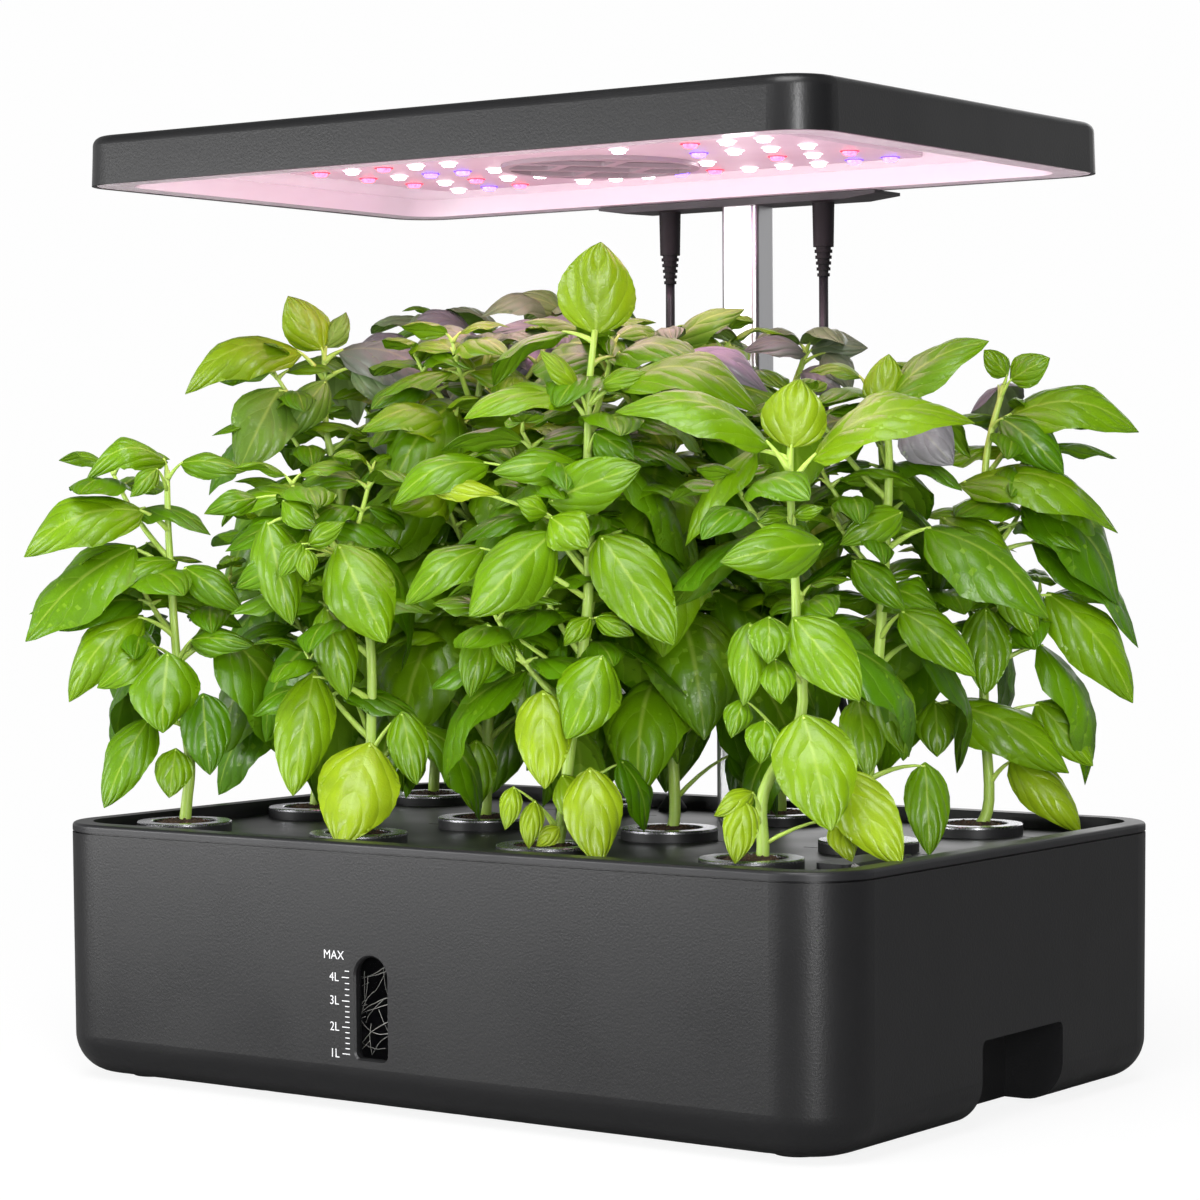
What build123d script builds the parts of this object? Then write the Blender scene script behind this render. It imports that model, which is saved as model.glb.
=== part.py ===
"""Countertop hydroponic garden.

A water tank carries a planting deck with net baskets and basil plants, a telescoping post and a grow lamp.
Millimetres, +Z up, the long front faces -Y. The origin is on the table, under the middle of the tank.
"""

import os
from math import atan, cos, degrees, pi, radians, sin, sqrt, tan

from build123d import *

os.makedirs("parts", exist_ok=True)

# ---------------------------------------------------------------- driving dimensions
# Clearances
press_gap = 0.02  # pin held in a hole of its own body
running_gap = 0.06  # shaft turning in a bore, on the radius
sliding_gap = 0.1  # post sections and buttons in their guides
loose_gap = 0.3  # parts that drop into each other
overcut = 1.0  # how far a cut starts outside what it cuts

# Tank
base_length = 365.0
base_depth = 246.6
base_corner_radius = 26.0
base_bottom_radius = 16.0
base_draft = 0.0055  # inward slope of each side, towards the floor
tank_top = 96.45
tank_wall = 3.0
tank_floor = 3.0
lip_width = 1.4  # step inside the tank's upper edge, which the deck rests on
foot_height = 1.5
foot_radius = 9.0
foot_bevel = 0.4
foot_inset_x = 32.0
foot_inset_y = 28.0

# Hand notches under the two ends
notch_width = 60.0
notch_centre_y = 7.0
notch_top = 32.0
notch_depth = 25.0
notch_corner = 3.0

# Level window in the front wall
window_x = -17.4
window_bottom = 20.9
window_top = 58.6
window_width = 14.8
window_foot_radius = 2.0
window_bevel = 0.7
window_recess = 2.4
lens_flange = 3.2
lens_flange_thickness = 1.6
gasket_thickness = 0.8

# Deck
seam_gap = 0.7
lip_gap = 0.05
rim_top = 100.3
rim_width = 8.0
rim_edge_radius = 1.4
pan_corner_radius = 18.0
pan_depth = 5.8
deck_thickness = 2.0
skirt_thickness = 2.2
skirt_drop = 2.5
pod_columns = 4
pod_rows = 3
pod_margin_left = 23.5  # from the pan's wall to the middle of the nearest pod
pod_margin_right = 55.1
pod_margin_front = 38.3
pod_margin_back = 33.3
slit_gap = 1.4
slit_length = 8.5
slit_width = 1.4
slit_depth = 0.8
ledge_width = 11.0
ledge_height = 2.6
ledge_front = 30.3  # from the pan's front wall
ledge_back = 15.3
rib_height = 6.0
rib_thickness = 1.6
rib_margin = 34.0  # long ribs end this far from the pan's side walls

# Pods: net basket, trim ring, growing plug
ring_radius = 18.85
ring_bore_radius = 12.9
ring_thickness = 1.1
ring_bevel = 0.35
flange_height = 3.3
basket_top_radius = 16.2
basket_bottom_radius = 12.2
basket_length = 42.0
basket_wall = 1.3
basket_slots = 8
basket_slot_width = 3.2
basket_slot_height = 22.0
basket_drain_radius = 4.0
plug_gap = 0.4  # between the plug and the ring, and the plug's top below the flange

# Plants
stem_radius = 3.0
leaf_thickness = 2.4
leaf_half_width = 15.0
leaf_gap = 2.0  # between the leaves of neighbouring plants
canopy_overhang_x = 32.5
canopy_overhang_y = 16.7
canopy_start = 32.0  # lowest leaves above the deck
tier_spread = (0.8, 1.0, 1.0, 0.9, 0.75, 0.55)  # reach of each pair of leaves, from the lowest up
post_leaf_gap = 14.0  # leaves in front of the post end this far ahead of its middle
plant_heights = (  # above the deck, front row to back row, left to right
    (158.0, 212.0, 222.0, 176.0),
    (196.0, 206.0, 204.0, 186.0),
    (168.0, 196.0, 190.0, 178.0),
)

# Filling slot and its lid
fill_slot_length = 33.0
fill_slot_width = 11.5
fill_slot_front = 42.8  # from the pan's front wall to the slot's front end
fill_slot_inset = 23.7  # from the pan's right wall to the slot's middle
fill_slot_corner = 2.0
curb_width = 1.8
curb_height = 1.2
lid_thickness = 2.2
lid_lap = 1.9  # how far the lid passes the slot
lid_lift = 0.2
lid_hinge_gap = 2.4  # from the lid's edge to the hinge's axis
lid_pin_radius = 1.1
lid_pin_head_radius = 1.75
lid_pin_head_length = 1.0
knuckle_radius = 2.0
knuckle_gap = 0.2
ear_length = 3.0

# Post
post_inset = 11.3  # from the pan's back wall to the middle of the post
post_inner_x = 18.0
post_inner_y = 15.0
post_inner_wall = 1.2
post_corner = 3.0
post_outer_wall = 2.0
post_outer_gap = 1.1  # between the two tubes, filled by the slider
post_outer_height = 127.5  # outer tube's top above the deck
post_inner_start = 5.5  # inner tube's lower end above the deck
post_foot_depth = 20.0  # outer tube's lower end below the deck
collar_height = 18.0
collar_skirt = 7.0
collar_wall = 0.8
collar_nose = 1.6
slider_height = 12.0
trim_thickness = 1.5
trim_margin_x = 1.3
trim_margin_y = 0.5
socket_wall = 2.0

# Lamp
lamp_length = 341.0
lamp_depth = 216.6
lamp_height = 19.4
lamp_rise = 255.0  # lamp's lower edge above the deck
lamp_corner_radius = 18.0
lamp_draft = 0.032
lamp_top_radius = 4.0
lamp_wall = 1.6
lamp_roof = 2.0
lamp_rear_inset = 4.3  # lamp's rear edge ahead of the post's middle
tray_lift = 0.2  # tray's flange above the lamp's lower edge
tray_sheet = 1.2
tray_flange = 11.0
tray_recess = 6.9
tray_slope = 4.8
tray_corner_radius = 14.0
board_thickness = 1.4
board_half_length = 116.0
board_half_depth = 52.0
board_corner_radius = 6.0
board_offset_x = 6.0
led_radius = 2.7
led_height = 1.6
led_edge_radius = 1.0
led_pitch = 16.0
led_row_pitch = 29.3
led_rows = (  # back row first; W white, R red, V violet, . empty
    "WVR.WWWVRWWWVV",
    "RWRWW....W.RWR",
    "RWVVW.....VWWW",
    "RWRWW....W.RWW",
)

# Fan above the tray
grille_radius = 38.5
grille_thickness = 1.6
grille_rim = 3.0
grille_turn = 52.0
grille_cell_length = 30.0
grille_cell_width = 17.0
grille_cell_corner = 1.5
grille_bar = 4.0
grille_half_rows = 2
fan_side = 80.0
fan_corner_radius = 5.0
fan_gap = 0.4  # above the tray
fan_roof_gap = 0.7
fan_bore_radius = 36.6
fan_struts = 4
fan_strut_width = 5.0
fan_strut_height = 1.6
fan_strut_bite = 1.0  # how far a strut runs into the frame
fan_pin_radius = 1.5
fan_hub_radius = 14.0
fan_blades = 7
fan_blade_root = 1.0  # how far a blade starts inside the hub
fan_blade_chord = 13.0
fan_blade_thickness = 1.0
fan_blade_pitch = 22.0
fan_tip_gap = 0.8
fan_axial_gap = 0.6
fan_blade_gap = 0.25  # below the blades, and between them and the struts
vent_slots = 24
vent_length = 17.0
vent_width = 2.2
vent_middle_radius = 25.0

# Buttons on the lamp
button_radius = 5.5
button_pitch = 22.0
button_height = 0.9
button_edge_radius = 0.4
button_flange = 1.1
button_flange_width = 1.4
button_inset = 20.5  # from the lamp's front edge
button_travel = 0.8
control_board_length = 70.0
control_board_width = 22.0
control_post_radius = 2.5
control_post_spacing = 58.0
switch_radius = 3.0
switch_gap = 0.4
switch_height = 2.0

# Bracket between the post and the lamp
bracket_half_length = 68.0
bracket_bevel = 14.0
bracket_bevel_height = 1.5
bracket_plate = 2.8
bracket_front = 11.0  # ahead of the post's middle
bracket_back = 9.0
bracket_block_half = 60.0
bracket_block_height = 12.5
bracket_block_corner = 2.0
boss_length = 9.0
boss_side = 9.0
boss_bite = 0.4  # how far a boss starts inside the rear wall
screw_radius = 1.6
screw_head_radius = 3.2
screw_head_height = 2.0
screw_head_round = 0.8
screw_slot = 0.8
screw_slot_depth = 1.0
screw_length = 22.0
screw_rise = 6.3
screw_spacing = (-52.0, -20.0, 20.0, 52.0)

# Round leads and their plugs
lead_radius = 1.93
plug_pump_x = -39.0
plug_power_x = 37.0
plug_radius = 4.55
plug_taper = 0.35
plug_length = 18.0
plug_nose_radius = 2.75
plug_nose_length = 8.0
relief_length = 12.0
relief_start_radius = 3.65
relief_end_radius = 2.6
relief_groove = 0.6
relief_ribs = 5
grommet_radius = 6.0
grommet_neck_radius = 3.9
grommet_neck_drop = 1.5
grommet_edge = 1.6
grommet_height = 6.5

# Pump under the deck
pump_side = 38.0
pump_bottom = 8.0
pump_height = 34.0
pump_corner = 4.0
pump_edge_radius = 2.0
chamber_radius = 13.0
chamber_depth = 12.0
impeller_radius = 12.0
impeller_height = 9.0
impeller_hub_radius = 3.4
impeller_pin_radius = 1.2
impeller_vanes = 6
vane_thickness = 1.2
pin_end_gap = 1.0  # a fixed pin ends this far from the open side
cover_thickness = 2.2
cover_slots = 5
cover_slot_width = 2.4
cover_slot_length = 22.0
riser_radius = 5.0
riser_bore_radius = 3.6

# Coil and adapter behind the tank
coil_middle_radius = 21.5
coil_columns = 4
coil_layers = 2
lead_spacing = 3.9
coil_rounding = 0.9  # share of the lead's radius on the edges of the coil
coil_x = 42.0
coil_behind_post = 56.0
adapter_length = 60.0
adapter_width = 34.0
adapter_height = 26.0
adapter_edge_radius = 5.0
adapter_relief_length = 20.0
adapter_relief_radius = 4.2
adapter_relief_bite = 0.5
prong_length = 16.0
prong_width = 6.4
prong_thickness = 1.6
prong_spacing = 12.7

# Clip that hooks over the rear rim and holds the power lead
clip_width = 14.0
clip_height = 5.2
clip_hook = 4.4
clip_back = 10.7
clip_edge_radius = 1.5

# Routes of the leads, with y measured back from the middle of the post
# The arc at each corner takes this share of the shorter run beside it
route_share = 0.45
lead_routes = {
    "pump_lead_lower": [(-29, -10, 42), (-29, -10, 54), (-34.5, -4, 68), (-39, 0, 79.5), (-39, 0, 91)],
    "pump_lead_upper": [
        (-39, 0, 101),
        (-39, 0, 138),
        (-40.6, 0.6, 186),
        (-40.4, 0.8, 236),
        (-39, 0, 282),
        (-39, 0, 316.7),
    ],
    "power_lead_upper": [
        (37, 0, 316.7),
        (37, 0, 180),
        (37.6, 5, 157),
        (36.7, 15, 139),
        (37, 25, 121),
        (37, 25, 105.5),
    ],
    "power_lead_lower": [
        (37, 25, 97.45),
        (37, 25, 80),
        (40.5, 26.5, 60),
        (47.5, 30, 39),
        (57.5, 35.5, 20.5),
        (66, 43, 6.5),
        (69, 56, 2.2),
    ],
}

# ---------------------------------------------------------------- worked-out places
half_length = base_length / 2
half_depth = base_depth / 2
deck_z = rim_top - pan_depth
deck_under = deck_z - deck_thickness
rim_bottom = tank_top + seam_gap
pan_half_x = half_length - rim_width
pan_half_y = half_depth - rim_width
pod_first_x = -pan_half_x + pod_margin_left
pod_first_y = -pan_half_y + pod_margin_front
pod_pitch_x = (2 * pan_half_x - pod_margin_left - pod_margin_right) / (pod_columns - 1)
pod_pitch_y = (2 * pan_half_y - pod_margin_front - pod_margin_back) / (pod_rows - 1)
flange_top = deck_z + flange_height
basket_bottom = deck_z - basket_length
plug_top = flange_top - plug_gap
fill_x = pan_half_x - fill_slot_inset
fill_y = -pan_half_y + fill_slot_front + fill_slot_length / 2
lid_bottom = deck_z + curb_height + lid_lift
lid_corner_radius = fill_slot_corner + lid_lap
lid_half_width = fill_slot_width / 2 + lid_lap
lid_half_length = fill_slot_length / 2 + lid_lap
knuckle_length = 2 * (lid_half_length - lid_corner_radius)
hinge_x = fill_x + lid_half_width + lid_hinge_gap
hinge_z = lid_bottom + lid_thickness / 2
ear_start = knuckle_length / 2 + knuckle_gap
post_y = pan_half_y - post_inset
post_guide_x = post_inner_x + 2 * post_outer_gap
post_guide_y = post_inner_y + 2 * post_outer_gap
post_outer_x = post_guide_x + 2 * post_outer_wall
post_outer_y = post_guide_y + 2 * post_outer_wall
post_outer_corner = post_corner + post_outer_gap + post_outer_wall
post_outer_top = deck_z + post_outer_height
post_inner_foot = deck_z + post_inner_start
post_foot = deck_z - post_foot_depth
lamp_bottom = deck_z + lamp_rise
lamp_top = lamp_bottom + lamp_height
lamp_rear = post_y - lamp_rear_inset
lamp_y = lamp_rear - lamp_depth / 2
roof_under = lamp_top - lamp_roof
tray_bottom = lamp_bottom + tray_lift
tray_floor = tray_bottom + tray_recess
tray_back = tray_floor + tray_sheet
board_bottom = tray_floor - board_thickness
led_row_start = lamp_y + led_row_pitch * (len(led_rows) - 1) / 2
fan_place = (board_offset_x, lamp_y)
fan_bottom = tray_back + fan_gap
fan_top = roof_under - fan_roof_gap
fan_height = fan_top - fan_bottom
button_y = lamp_y - lamp_depth / 2 + button_inset
button_places = [(turn * button_pitch, button_y) for turn in (-1, 0, 1)]
bracket_bottom = lamp_bottom - bracket_plate
bracket_rear = post_y + bracket_back
screw_z = lamp_bottom + screw_rise
plug_foot = bracket_bottom - plug_length
relief_foot = plug_foot - relief_length
pump_place = (
    pod_first_x + (pod_columns - 1) * pod_pitch_x / 2,
    pod_first_y + (pod_rows - 1) * pod_pitch_y,
)
pump_top = pump_bottom + pump_height
coil_y = post_y + coil_behind_post
coil_turn_radius = coil_middle_radius + (coil_columns - 1) * lead_spacing / 2
coil_outer_radius = coil_turn_radius + lead_radius
coil_inner_radius = coil_outer_radius - (coil_columns - 1) * lead_spacing - 2 * lead_radius
coil_height = (coil_layers - 1) * lead_spacing + 2 * lead_radius
pod_places = [
    (pod_first_x + column * pod_pitch_x, pod_first_y + row * pod_pitch_y)
    for row in range(pod_rows)
    for column in range(pod_columns)
]


def level(z, x=0.0, y=0.0):
    """A horizontal plane through a point."""
    return Plane(origin=(x, y, z))


def upright(y, x=0.0, z=0.0):
    """A plane that faces -Y, with +X to its right and +Z up."""
    return Plane(origin=(x, y, z), x_dir=(1, 0, 0), z_dir=(0, -1, 0))


def radial(angle, x, y, z, reach=0.0):
    """A plane that faces outwards at an angle about a vertical axis, reach away from it."""
    outwards = (cos(angle), sin(angle), 0)
    origin = (x + reach * outwards[0], y + reach * outwards[1], z)
    return Plane(origin=origin, x_dir=(-outwards[1], outwards[0], 0), z_dir=outwards)


def side_inset(z):
    """How far the tank's drafted side stands inside its upper outline at a height."""
    return base_draft * (tank_top - z)


def save(builder, name):
    """Labels a finished sub-part and writes it."""
    builder.part.label = name
    export_step(builder.part, f"parts/{name}.step")


# ---------------------------------------------------------------- water tank
def notch_plane(side, x):
    """A plane across one end of the tank, facing inwards, in the middle of its hand notch."""
    return Plane(origin=(side * x, notch_centre_y, 0), x_dir=(0, 1, 0), z_dir=(-side, 0, 0))


with BuildPart() as cavity:
    for z in (foot_height + tank_floor, rim_bottom):
        inset = side_inset(z) + tank_wall
        with BuildSketch(level(z)):
            RectangleRounded(
                base_length - 2 * inset, base_depth - 2 * inset, base_corner_radius - tank_wall
            )
    loft()
    fillet(cavity.edges().group_by(Axis.Z)[0], base_bottom_radius - tank_wall)
    for side in (-1, 1):
        with BuildSketch(notch_plane(side, half_length)):
            RectangleRounded(
                notch_width + 2 * tank_wall, 2 * (notch_top + tank_wall), notch_corner + tank_wall
            )
        extrude(amount=notch_depth + tank_wall, mode=Mode.SUBTRACT)

window_half = (window_top - window_bottom) / 2
window_z = window_bottom + window_half
window_plane = Plane(
    origin=(window_x, side_inset(window_z) - half_depth, window_z),
    x_dir=(1, 0, 0),
    z_dir=(0, -cos(atan(base_draft)), -sin(atan(base_draft))),
)


def window_outline(grow):
    """The window's outline, a slot with a round head, larger by grow all round."""
    half_width = window_width / 2 + grow
    head = window_half - window_width / 2
    foot = -window_half - grow
    with BuildSketch() as outline:
        with BuildLine():
            FilletPolyline(
                (-half_width, head),
                (-half_width, foot),
                (half_width, foot),
                (half_width, head),
                radius=window_foot_radius + grow,
            )
            ThreePointArc((-half_width, head), (0, head + half_width), (half_width, head))
        make_face()
    return outline.sketch


window_hole = window_outline(0)
window_mouth = window_outline(window_bevel)
window_pad = window_outline(-sliding_gap)
gasket_hole = window_outline(sliding_gap)
window_flange = window_outline(lens_flange)

with BuildPart() as tank:
    for z in (foot_height, tank_top):
        inset = side_inset(z)
        with BuildSketch(level(z)):
            RectangleRounded(base_length - 2 * inset, base_depth - 2 * inset, base_corner_radius)
    loft()
    fillet(tank.edges().group_by(Axis.Z)[0], base_bottom_radius)
    lip_inset = tank_wall - lip_width
    with BuildSketch(level(tank_top)):
        RectangleRounded(
            base_length - 2 * lip_inset, base_depth - 2 * lip_inset, base_corner_radius - lip_inset
        )
    extrude(amount=seam_gap - lip_gap)
    add(cavity.part, mode=Mode.SUBTRACT)
    for side in (-1, 1):
        with BuildSketch(notch_plane(side, half_length + overcut)):
            RectangleRounded(notch_width, 2 * notch_top, notch_corner)
        extrude(amount=notch_depth + overcut, mode=Mode.SUBTRACT)
    with BuildSketch(window_plane):
        add(window_hole)
    extrude(amount=tank_wall + overcut, both=True, mode=Mode.SUBTRACT)
    with BuildSketch(window_plane):
        add(window_mouth)
    extrude(amount=-window_bevel, taper=45, mode=Mode.SUBTRACT)
save(tank, "tank")

with BuildPart() as feet:
    with BuildSketch():
        with GridLocations(base_length - 2 * foot_inset_x, base_depth - 2 * foot_inset_y, 2, 2):
            Circle(foot_radius)
    extrude(amount=foot_height)
    chamfer(feet.edges().group_by(Axis.Z)[0], foot_bevel)
save(feet, "feet")

with BuildPart() as window_gasket:
    with BuildSketch(window_plane.offset(-tank_wall)):
        add(window_flange)
        add(gasket_hole, mode=Mode.SUBTRACT)
    extrude(amount=-gasket_thickness)
save(window_gasket, "window_gasket")

with BuildPart() as window_lens:
    with BuildSketch(window_plane.offset(-tank_wall - gasket_thickness)):
        add(window_flange)
    extrude(amount=-lens_flange_thickness)
    with BuildSketch(window_plane.offset(-tank_wall - gasket_thickness)):
        add(window_pad)
    extrude(amount=tank_wall + gasket_thickness - window_recess)
save(window_lens, "window_lens")

# ---------------------------------------------------------------- deck
skirt_bottom = deck_under - skirt_drop
skirt_outset = tank_wall + side_inset(skirt_bottom) + loose_gap
skirt_inset = skirt_outset + skirt_thickness
slit_reach = ring_radius + slit_gap + slit_length / 2
slit_places = [(x + side * slit_reach, y) for x, y in pod_places for side in (-1, 1)]
ledge_length = 2 * pan_half_y - ledge_front - ledge_back
grommet_place = (plug_pump_x, post_y)

with BuildPart() as deck:
    with BuildSketch(level(rim_bottom)):
        RectangleRounded(base_length, base_depth, base_corner_radius)
    extrude(amount=rim_top - rim_bottom)
    fillet(deck.edges().group_by(Axis.Z)[-1], rim_edge_radius)
    with BuildSketch(level(skirt_bottom)):
        RectangleRounded(
            base_length - 2 * skirt_outset, base_depth - 2 * skirt_outset, base_corner_radius - skirt_outset
        )
    extrude(amount=rim_bottom - skirt_bottom)
    with BuildSketch(level(skirt_bottom)):
        RectangleRounded(
            base_length - 2 * skirt_inset, base_depth - 2 * skirt_inset, base_corner_radius - skirt_inset
        )
    extrude(amount=skirt_drop, mode=Mode.SUBTRACT)
    with BuildSketch(level(deck_z)):
        RectangleRounded(2 * pan_half_x, 2 * pan_half_y, pan_corner_radius)
    extrude(amount=pan_depth, mode=Mode.SUBTRACT)
    with BuildSketch(level(deck_z)):
        with Locations((pan_half_x - ledge_width / 2, (ledge_front - ledge_back) / 2)):
            Rectangle(ledge_width, ledge_length)
    extrude(amount=ledge_height)
    with BuildSketch(level(deck_under)):
        for row in range(pod_rows - 1):
            with Locations((0, pod_first_y + (row + 0.5) * pod_pitch_y)):
                Rectangle(2 * (pan_half_x - rib_margin), rib_thickness)
        for column in range(pod_columns - 1):
            with Locations((pod_first_x + (column + 0.5) * pod_pitch_x, pod_first_y + pod_pitch_y / 2)):
                Rectangle(rib_thickness, pod_pitch_y * (pod_rows - 1) - ring_radius)
    extrude(amount=-rib_height)
    with BuildSketch(level(deck_z)):
        with Locations((fill_x, fill_y)):
            RectangleRounded(
                fill_slot_width + 2 * curb_width,
                fill_slot_length + 2 * curb_width,
                fill_slot_corner + curb_width,
            )
    extrude(amount=curb_height)
    for ear_y in (fill_y - ear_start, fill_y + ear_start + ear_length):
        with BuildSketch(upright(ear_y)):
            with Locations((hinge_x, (deck_z + hinge_z) / 2)):
                Rectangle(2 * knuckle_radius, hinge_z - deck_z)
            with Locations((hinge_x, hinge_z)):
                Circle(knuckle_radius)
                Circle(lid_pin_radius + press_gap, mode=Mode.SUBTRACT)
        extrude(amount=ear_length)
    with BuildSketch(level(deck_under)):
        with Locations(*pod_places):
            Circle(basket_top_radius + loose_gap)
        with Locations((fill_x, fill_y)):
            RectangleRounded(fill_slot_width, fill_slot_length, fill_slot_corner)
        with Locations((0, post_y)):
            RectangleRounded(post_outer_x + 2 * loose_gap, post_outer_y + 2 * loose_gap, post_outer_corner)
        with Locations(grommet_place):
            Circle(grommet_neck_radius + press_gap)
    extrude(amount=deck_thickness + curb_height, mode=Mode.SUBTRACT)
    with BuildSketch(level(deck_z)):
        with Locations(*slit_places):
            Rectangle(slit_length, slit_width)
    extrude(amount=-slit_depth, mode=Mode.SUBTRACT)
save(deck, "deck")

# ---------------------------------------------------------------- pods
basket_bore_bottom = basket_bottom_radius - basket_wall
basket_bore_top = basket_top_radius - basket_wall

with BuildPart() as basket:
    with BuildSketch(Plane.XZ):
        with BuildLine():
            Polyline(
                (basket_drain_radius, basket_bottom),
                (basket_bottom_radius, basket_bottom),
                (basket_top_radius, deck_z),
                (ring_radius, deck_z),
                (ring_radius, flange_top),
                (basket_bore_top, flange_top),
                (basket_bore_top, deck_z),
                (basket_bore_bottom, basket_bottom + basket_wall),
                (basket_drain_radius, basket_bottom + basket_wall),
                close=True,
            )
        make_face()
    revolve(axis=Axis.Z)
    for turn in range(basket_slots // 2):
        slot_angle = 2 * pi * (turn + 0.5) / basket_slots
        with BuildSketch(radial(slot_angle, 0, 0, deck_z - basket_length / 2)):
            SlotOverall(basket_slot_height, basket_slot_width, rotation=90)
        extrude(amount=basket_top_radius, both=True, mode=Mode.SUBTRACT)

for row, row_name in enumerate(("front", "middle", "back")):
    with BuildPart() as net_baskets:
        with Locations(*pod_places[row * pod_columns : (row + 1) * pod_columns]):
            add(basket.part)
    save(net_baskets, f"net_baskets_{row_name}")

with BuildPart() as pod_trim_rings:
    with BuildSketch(level(flange_top)):
        with Locations(*pod_places):
            Circle(ring_radius)
            Circle(ring_bore_radius, mode=Mode.SUBTRACT)
    extrude(amount=ring_thickness)
    chamfer(pod_trim_rings.edges().group_by(Axis.Z)[-1], ring_bevel)
save(pod_trim_rings, "pod_trim_rings")

with BuildPart() as growing_plug:
    with BuildSketch(level(basket_bottom + basket_wall)):
        Circle(basket_bore_bottom - plug_gap)
    with BuildSketch(level(plug_top)):
        Circle(ring_bore_radius - plug_gap)
    loft()

with BuildPart() as growing_plugs:
    with Locations(*pod_places):
        add(growing_plug.part)
save(growing_plugs, "growing_plugs")

# ---------------------------------------------------------------- plants
canopy_half_x = half_length + canopy_overhang_x
canopy_half_y = half_depth + canopy_overhang_y


def leaf_reach(column, row):
    """How far a plant's leaves may go to its left, right, front and back."""
    x, y = pod_places[row * pod_columns + column]
    beside = (pod_pitch_x - leaf_gap) / 2
    ahead = (pod_pitch_y - leaf_gap) / 2
    left = canopy_half_x + x if column == 0 else beside
    right = canopy_half_x - x if column == pod_columns - 1 else beside
    front = canopy_half_y + y if row == 0 else ahead
    away_from_post = column in (0, pod_columns - 1)
    back_edge = canopy_half_y if away_from_post else post_y - post_leaf_gap
    back = back_edge - y if row == pod_rows - 1 else ahead
    return left, right, front, back


for row in range(pod_rows):
    for column in range(pod_columns):
        plant_x, plant_y = pod_places[row * pod_columns + column]
        left, right, front, back = leaf_reach(column, row)
        stem_top = deck_z + plant_heights[row][column]
        first_tier = deck_z + canopy_start
        tier_rise = (stem_top - leaf_thickness - first_tier) / (len(tier_spread) - 1)
        with BuildPart() as plant:
            with BuildSketch(level(plug_top, plant_x, plant_y)):
                Circle(stem_radius)
            extrude(amount=stem_top - plug_top)
            for tier, spread in enumerate(tier_spread):
                tier_z = first_tier + tier * tier_rise
                if tier % 2 == 0:
                    tier_plane = level(tier_z, plant_x + (right - left) * spread / 2, plant_y)
                    half_leaf = min(leaf_half_width, front, back)
                    with BuildSketch(tier_plane):
                        Ellipse((right + left) * spread / 2, half_leaf)
                else:
                    tier_plane = level(tier_z, plant_x, plant_y + (back - front) * spread / 2)
                    half_leaf = min(leaf_half_width, left, right)
                    with BuildSketch(tier_plane):
                        Ellipse(half_leaf, (back + front) * spread / 2)
                extrude(amount=leaf_thickness)
        save(plant, f"plant_{column + 1}_{row + 1}")

# ---------------------------------------------------------------- filling lid
with BuildPart() as fill_lid:
    with BuildSketch(level(lid_bottom)):
        with Locations((fill_x, fill_y)):
            RectangleRounded(2 * lid_half_width, 2 * lid_half_length, lid_corner_radius)
        with Locations(((fill_x + hinge_x) / 2, fill_y)):
            Rectangle(hinge_x - fill_x, knuckle_length)
    extrude(amount=lid_thickness)
    with BuildSketch(upright(fill_y + knuckle_length / 2, hinge_x, hinge_z)):
        Circle(knuckle_radius)
    extrude(amount=knuckle_length)
    with BuildSketch(upright(fill_y + knuckle_length / 2, hinge_x, hinge_z)):
        Circle(lid_pin_radius + running_gap)
    extrude(amount=knuckle_length, mode=Mode.SUBTRACT)
save(fill_lid, "fill_lid")

with BuildPart() as fill_lid_pin:
    pin_end = ear_start + ear_length
    with BuildSketch(upright(fill_y + pin_end, hinge_x, hinge_z)):
        Circle(lid_pin_radius)
    extrude(amount=2 * pin_end)
    with BuildSketch(upright(fill_y - pin_end, hinge_x, hinge_z)):
        Circle(lid_pin_head_radius)
    extrude(amount=lid_pin_head_length)
save(fill_lid_pin, "fill_lid_pin")

# ---------------------------------------------------------------- post
with BuildPart() as pole_outer:
    with BuildSketch(level(post_foot, y=post_y)):
        RectangleRounded(post_outer_x, post_outer_y, post_outer_corner)
        RectangleRounded(post_guide_x, post_guide_y, post_corner + post_outer_gap, mode=Mode.SUBTRACT)
    extrude(amount=post_outer_top - post_foot)
save(pole_outer, "pole_outer")


def post_bore():
    """The outline of a bore that the outer tube is pressed into."""
    with BuildSketch() as bore:
        RectangleRounded(
            post_outer_x + 2 * press_gap, post_outer_y + 2 * press_gap, post_outer_corner + press_gap
        )
    return bore.sketch


outer_tube_bore = post_bore()

with BuildPart() as pole_socket:
    socket_gap = press_gap + socket_wall
    with BuildSketch(level(post_foot - socket_wall, y=post_y)):
        RectangleRounded(
            post_outer_x + 2 * socket_gap, post_outer_y + 2 * socket_gap, post_outer_corner + socket_gap
        )
    extrude(amount=deck_under - post_foot + socket_wall)
    with BuildSketch(level(post_foot, y=post_y)):
        add(outer_tube_bore)
    extrude(amount=deck_under - post_foot, mode=Mode.SUBTRACT)
save(pole_socket, "pole_socket")

with BuildPart() as pole_trim:
    with BuildSketch(level(deck_z, y=post_y)):
        RectangleRounded(
            post_outer_x + 2 * trim_margin_x, post_outer_y + 2 * trim_margin_y, post_outer_corner
        )
        add(outer_tube_bore, mode=Mode.SUBTRACT)
    extrude(amount=trim_thickness)
save(pole_trim, "pole_trim")

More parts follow.
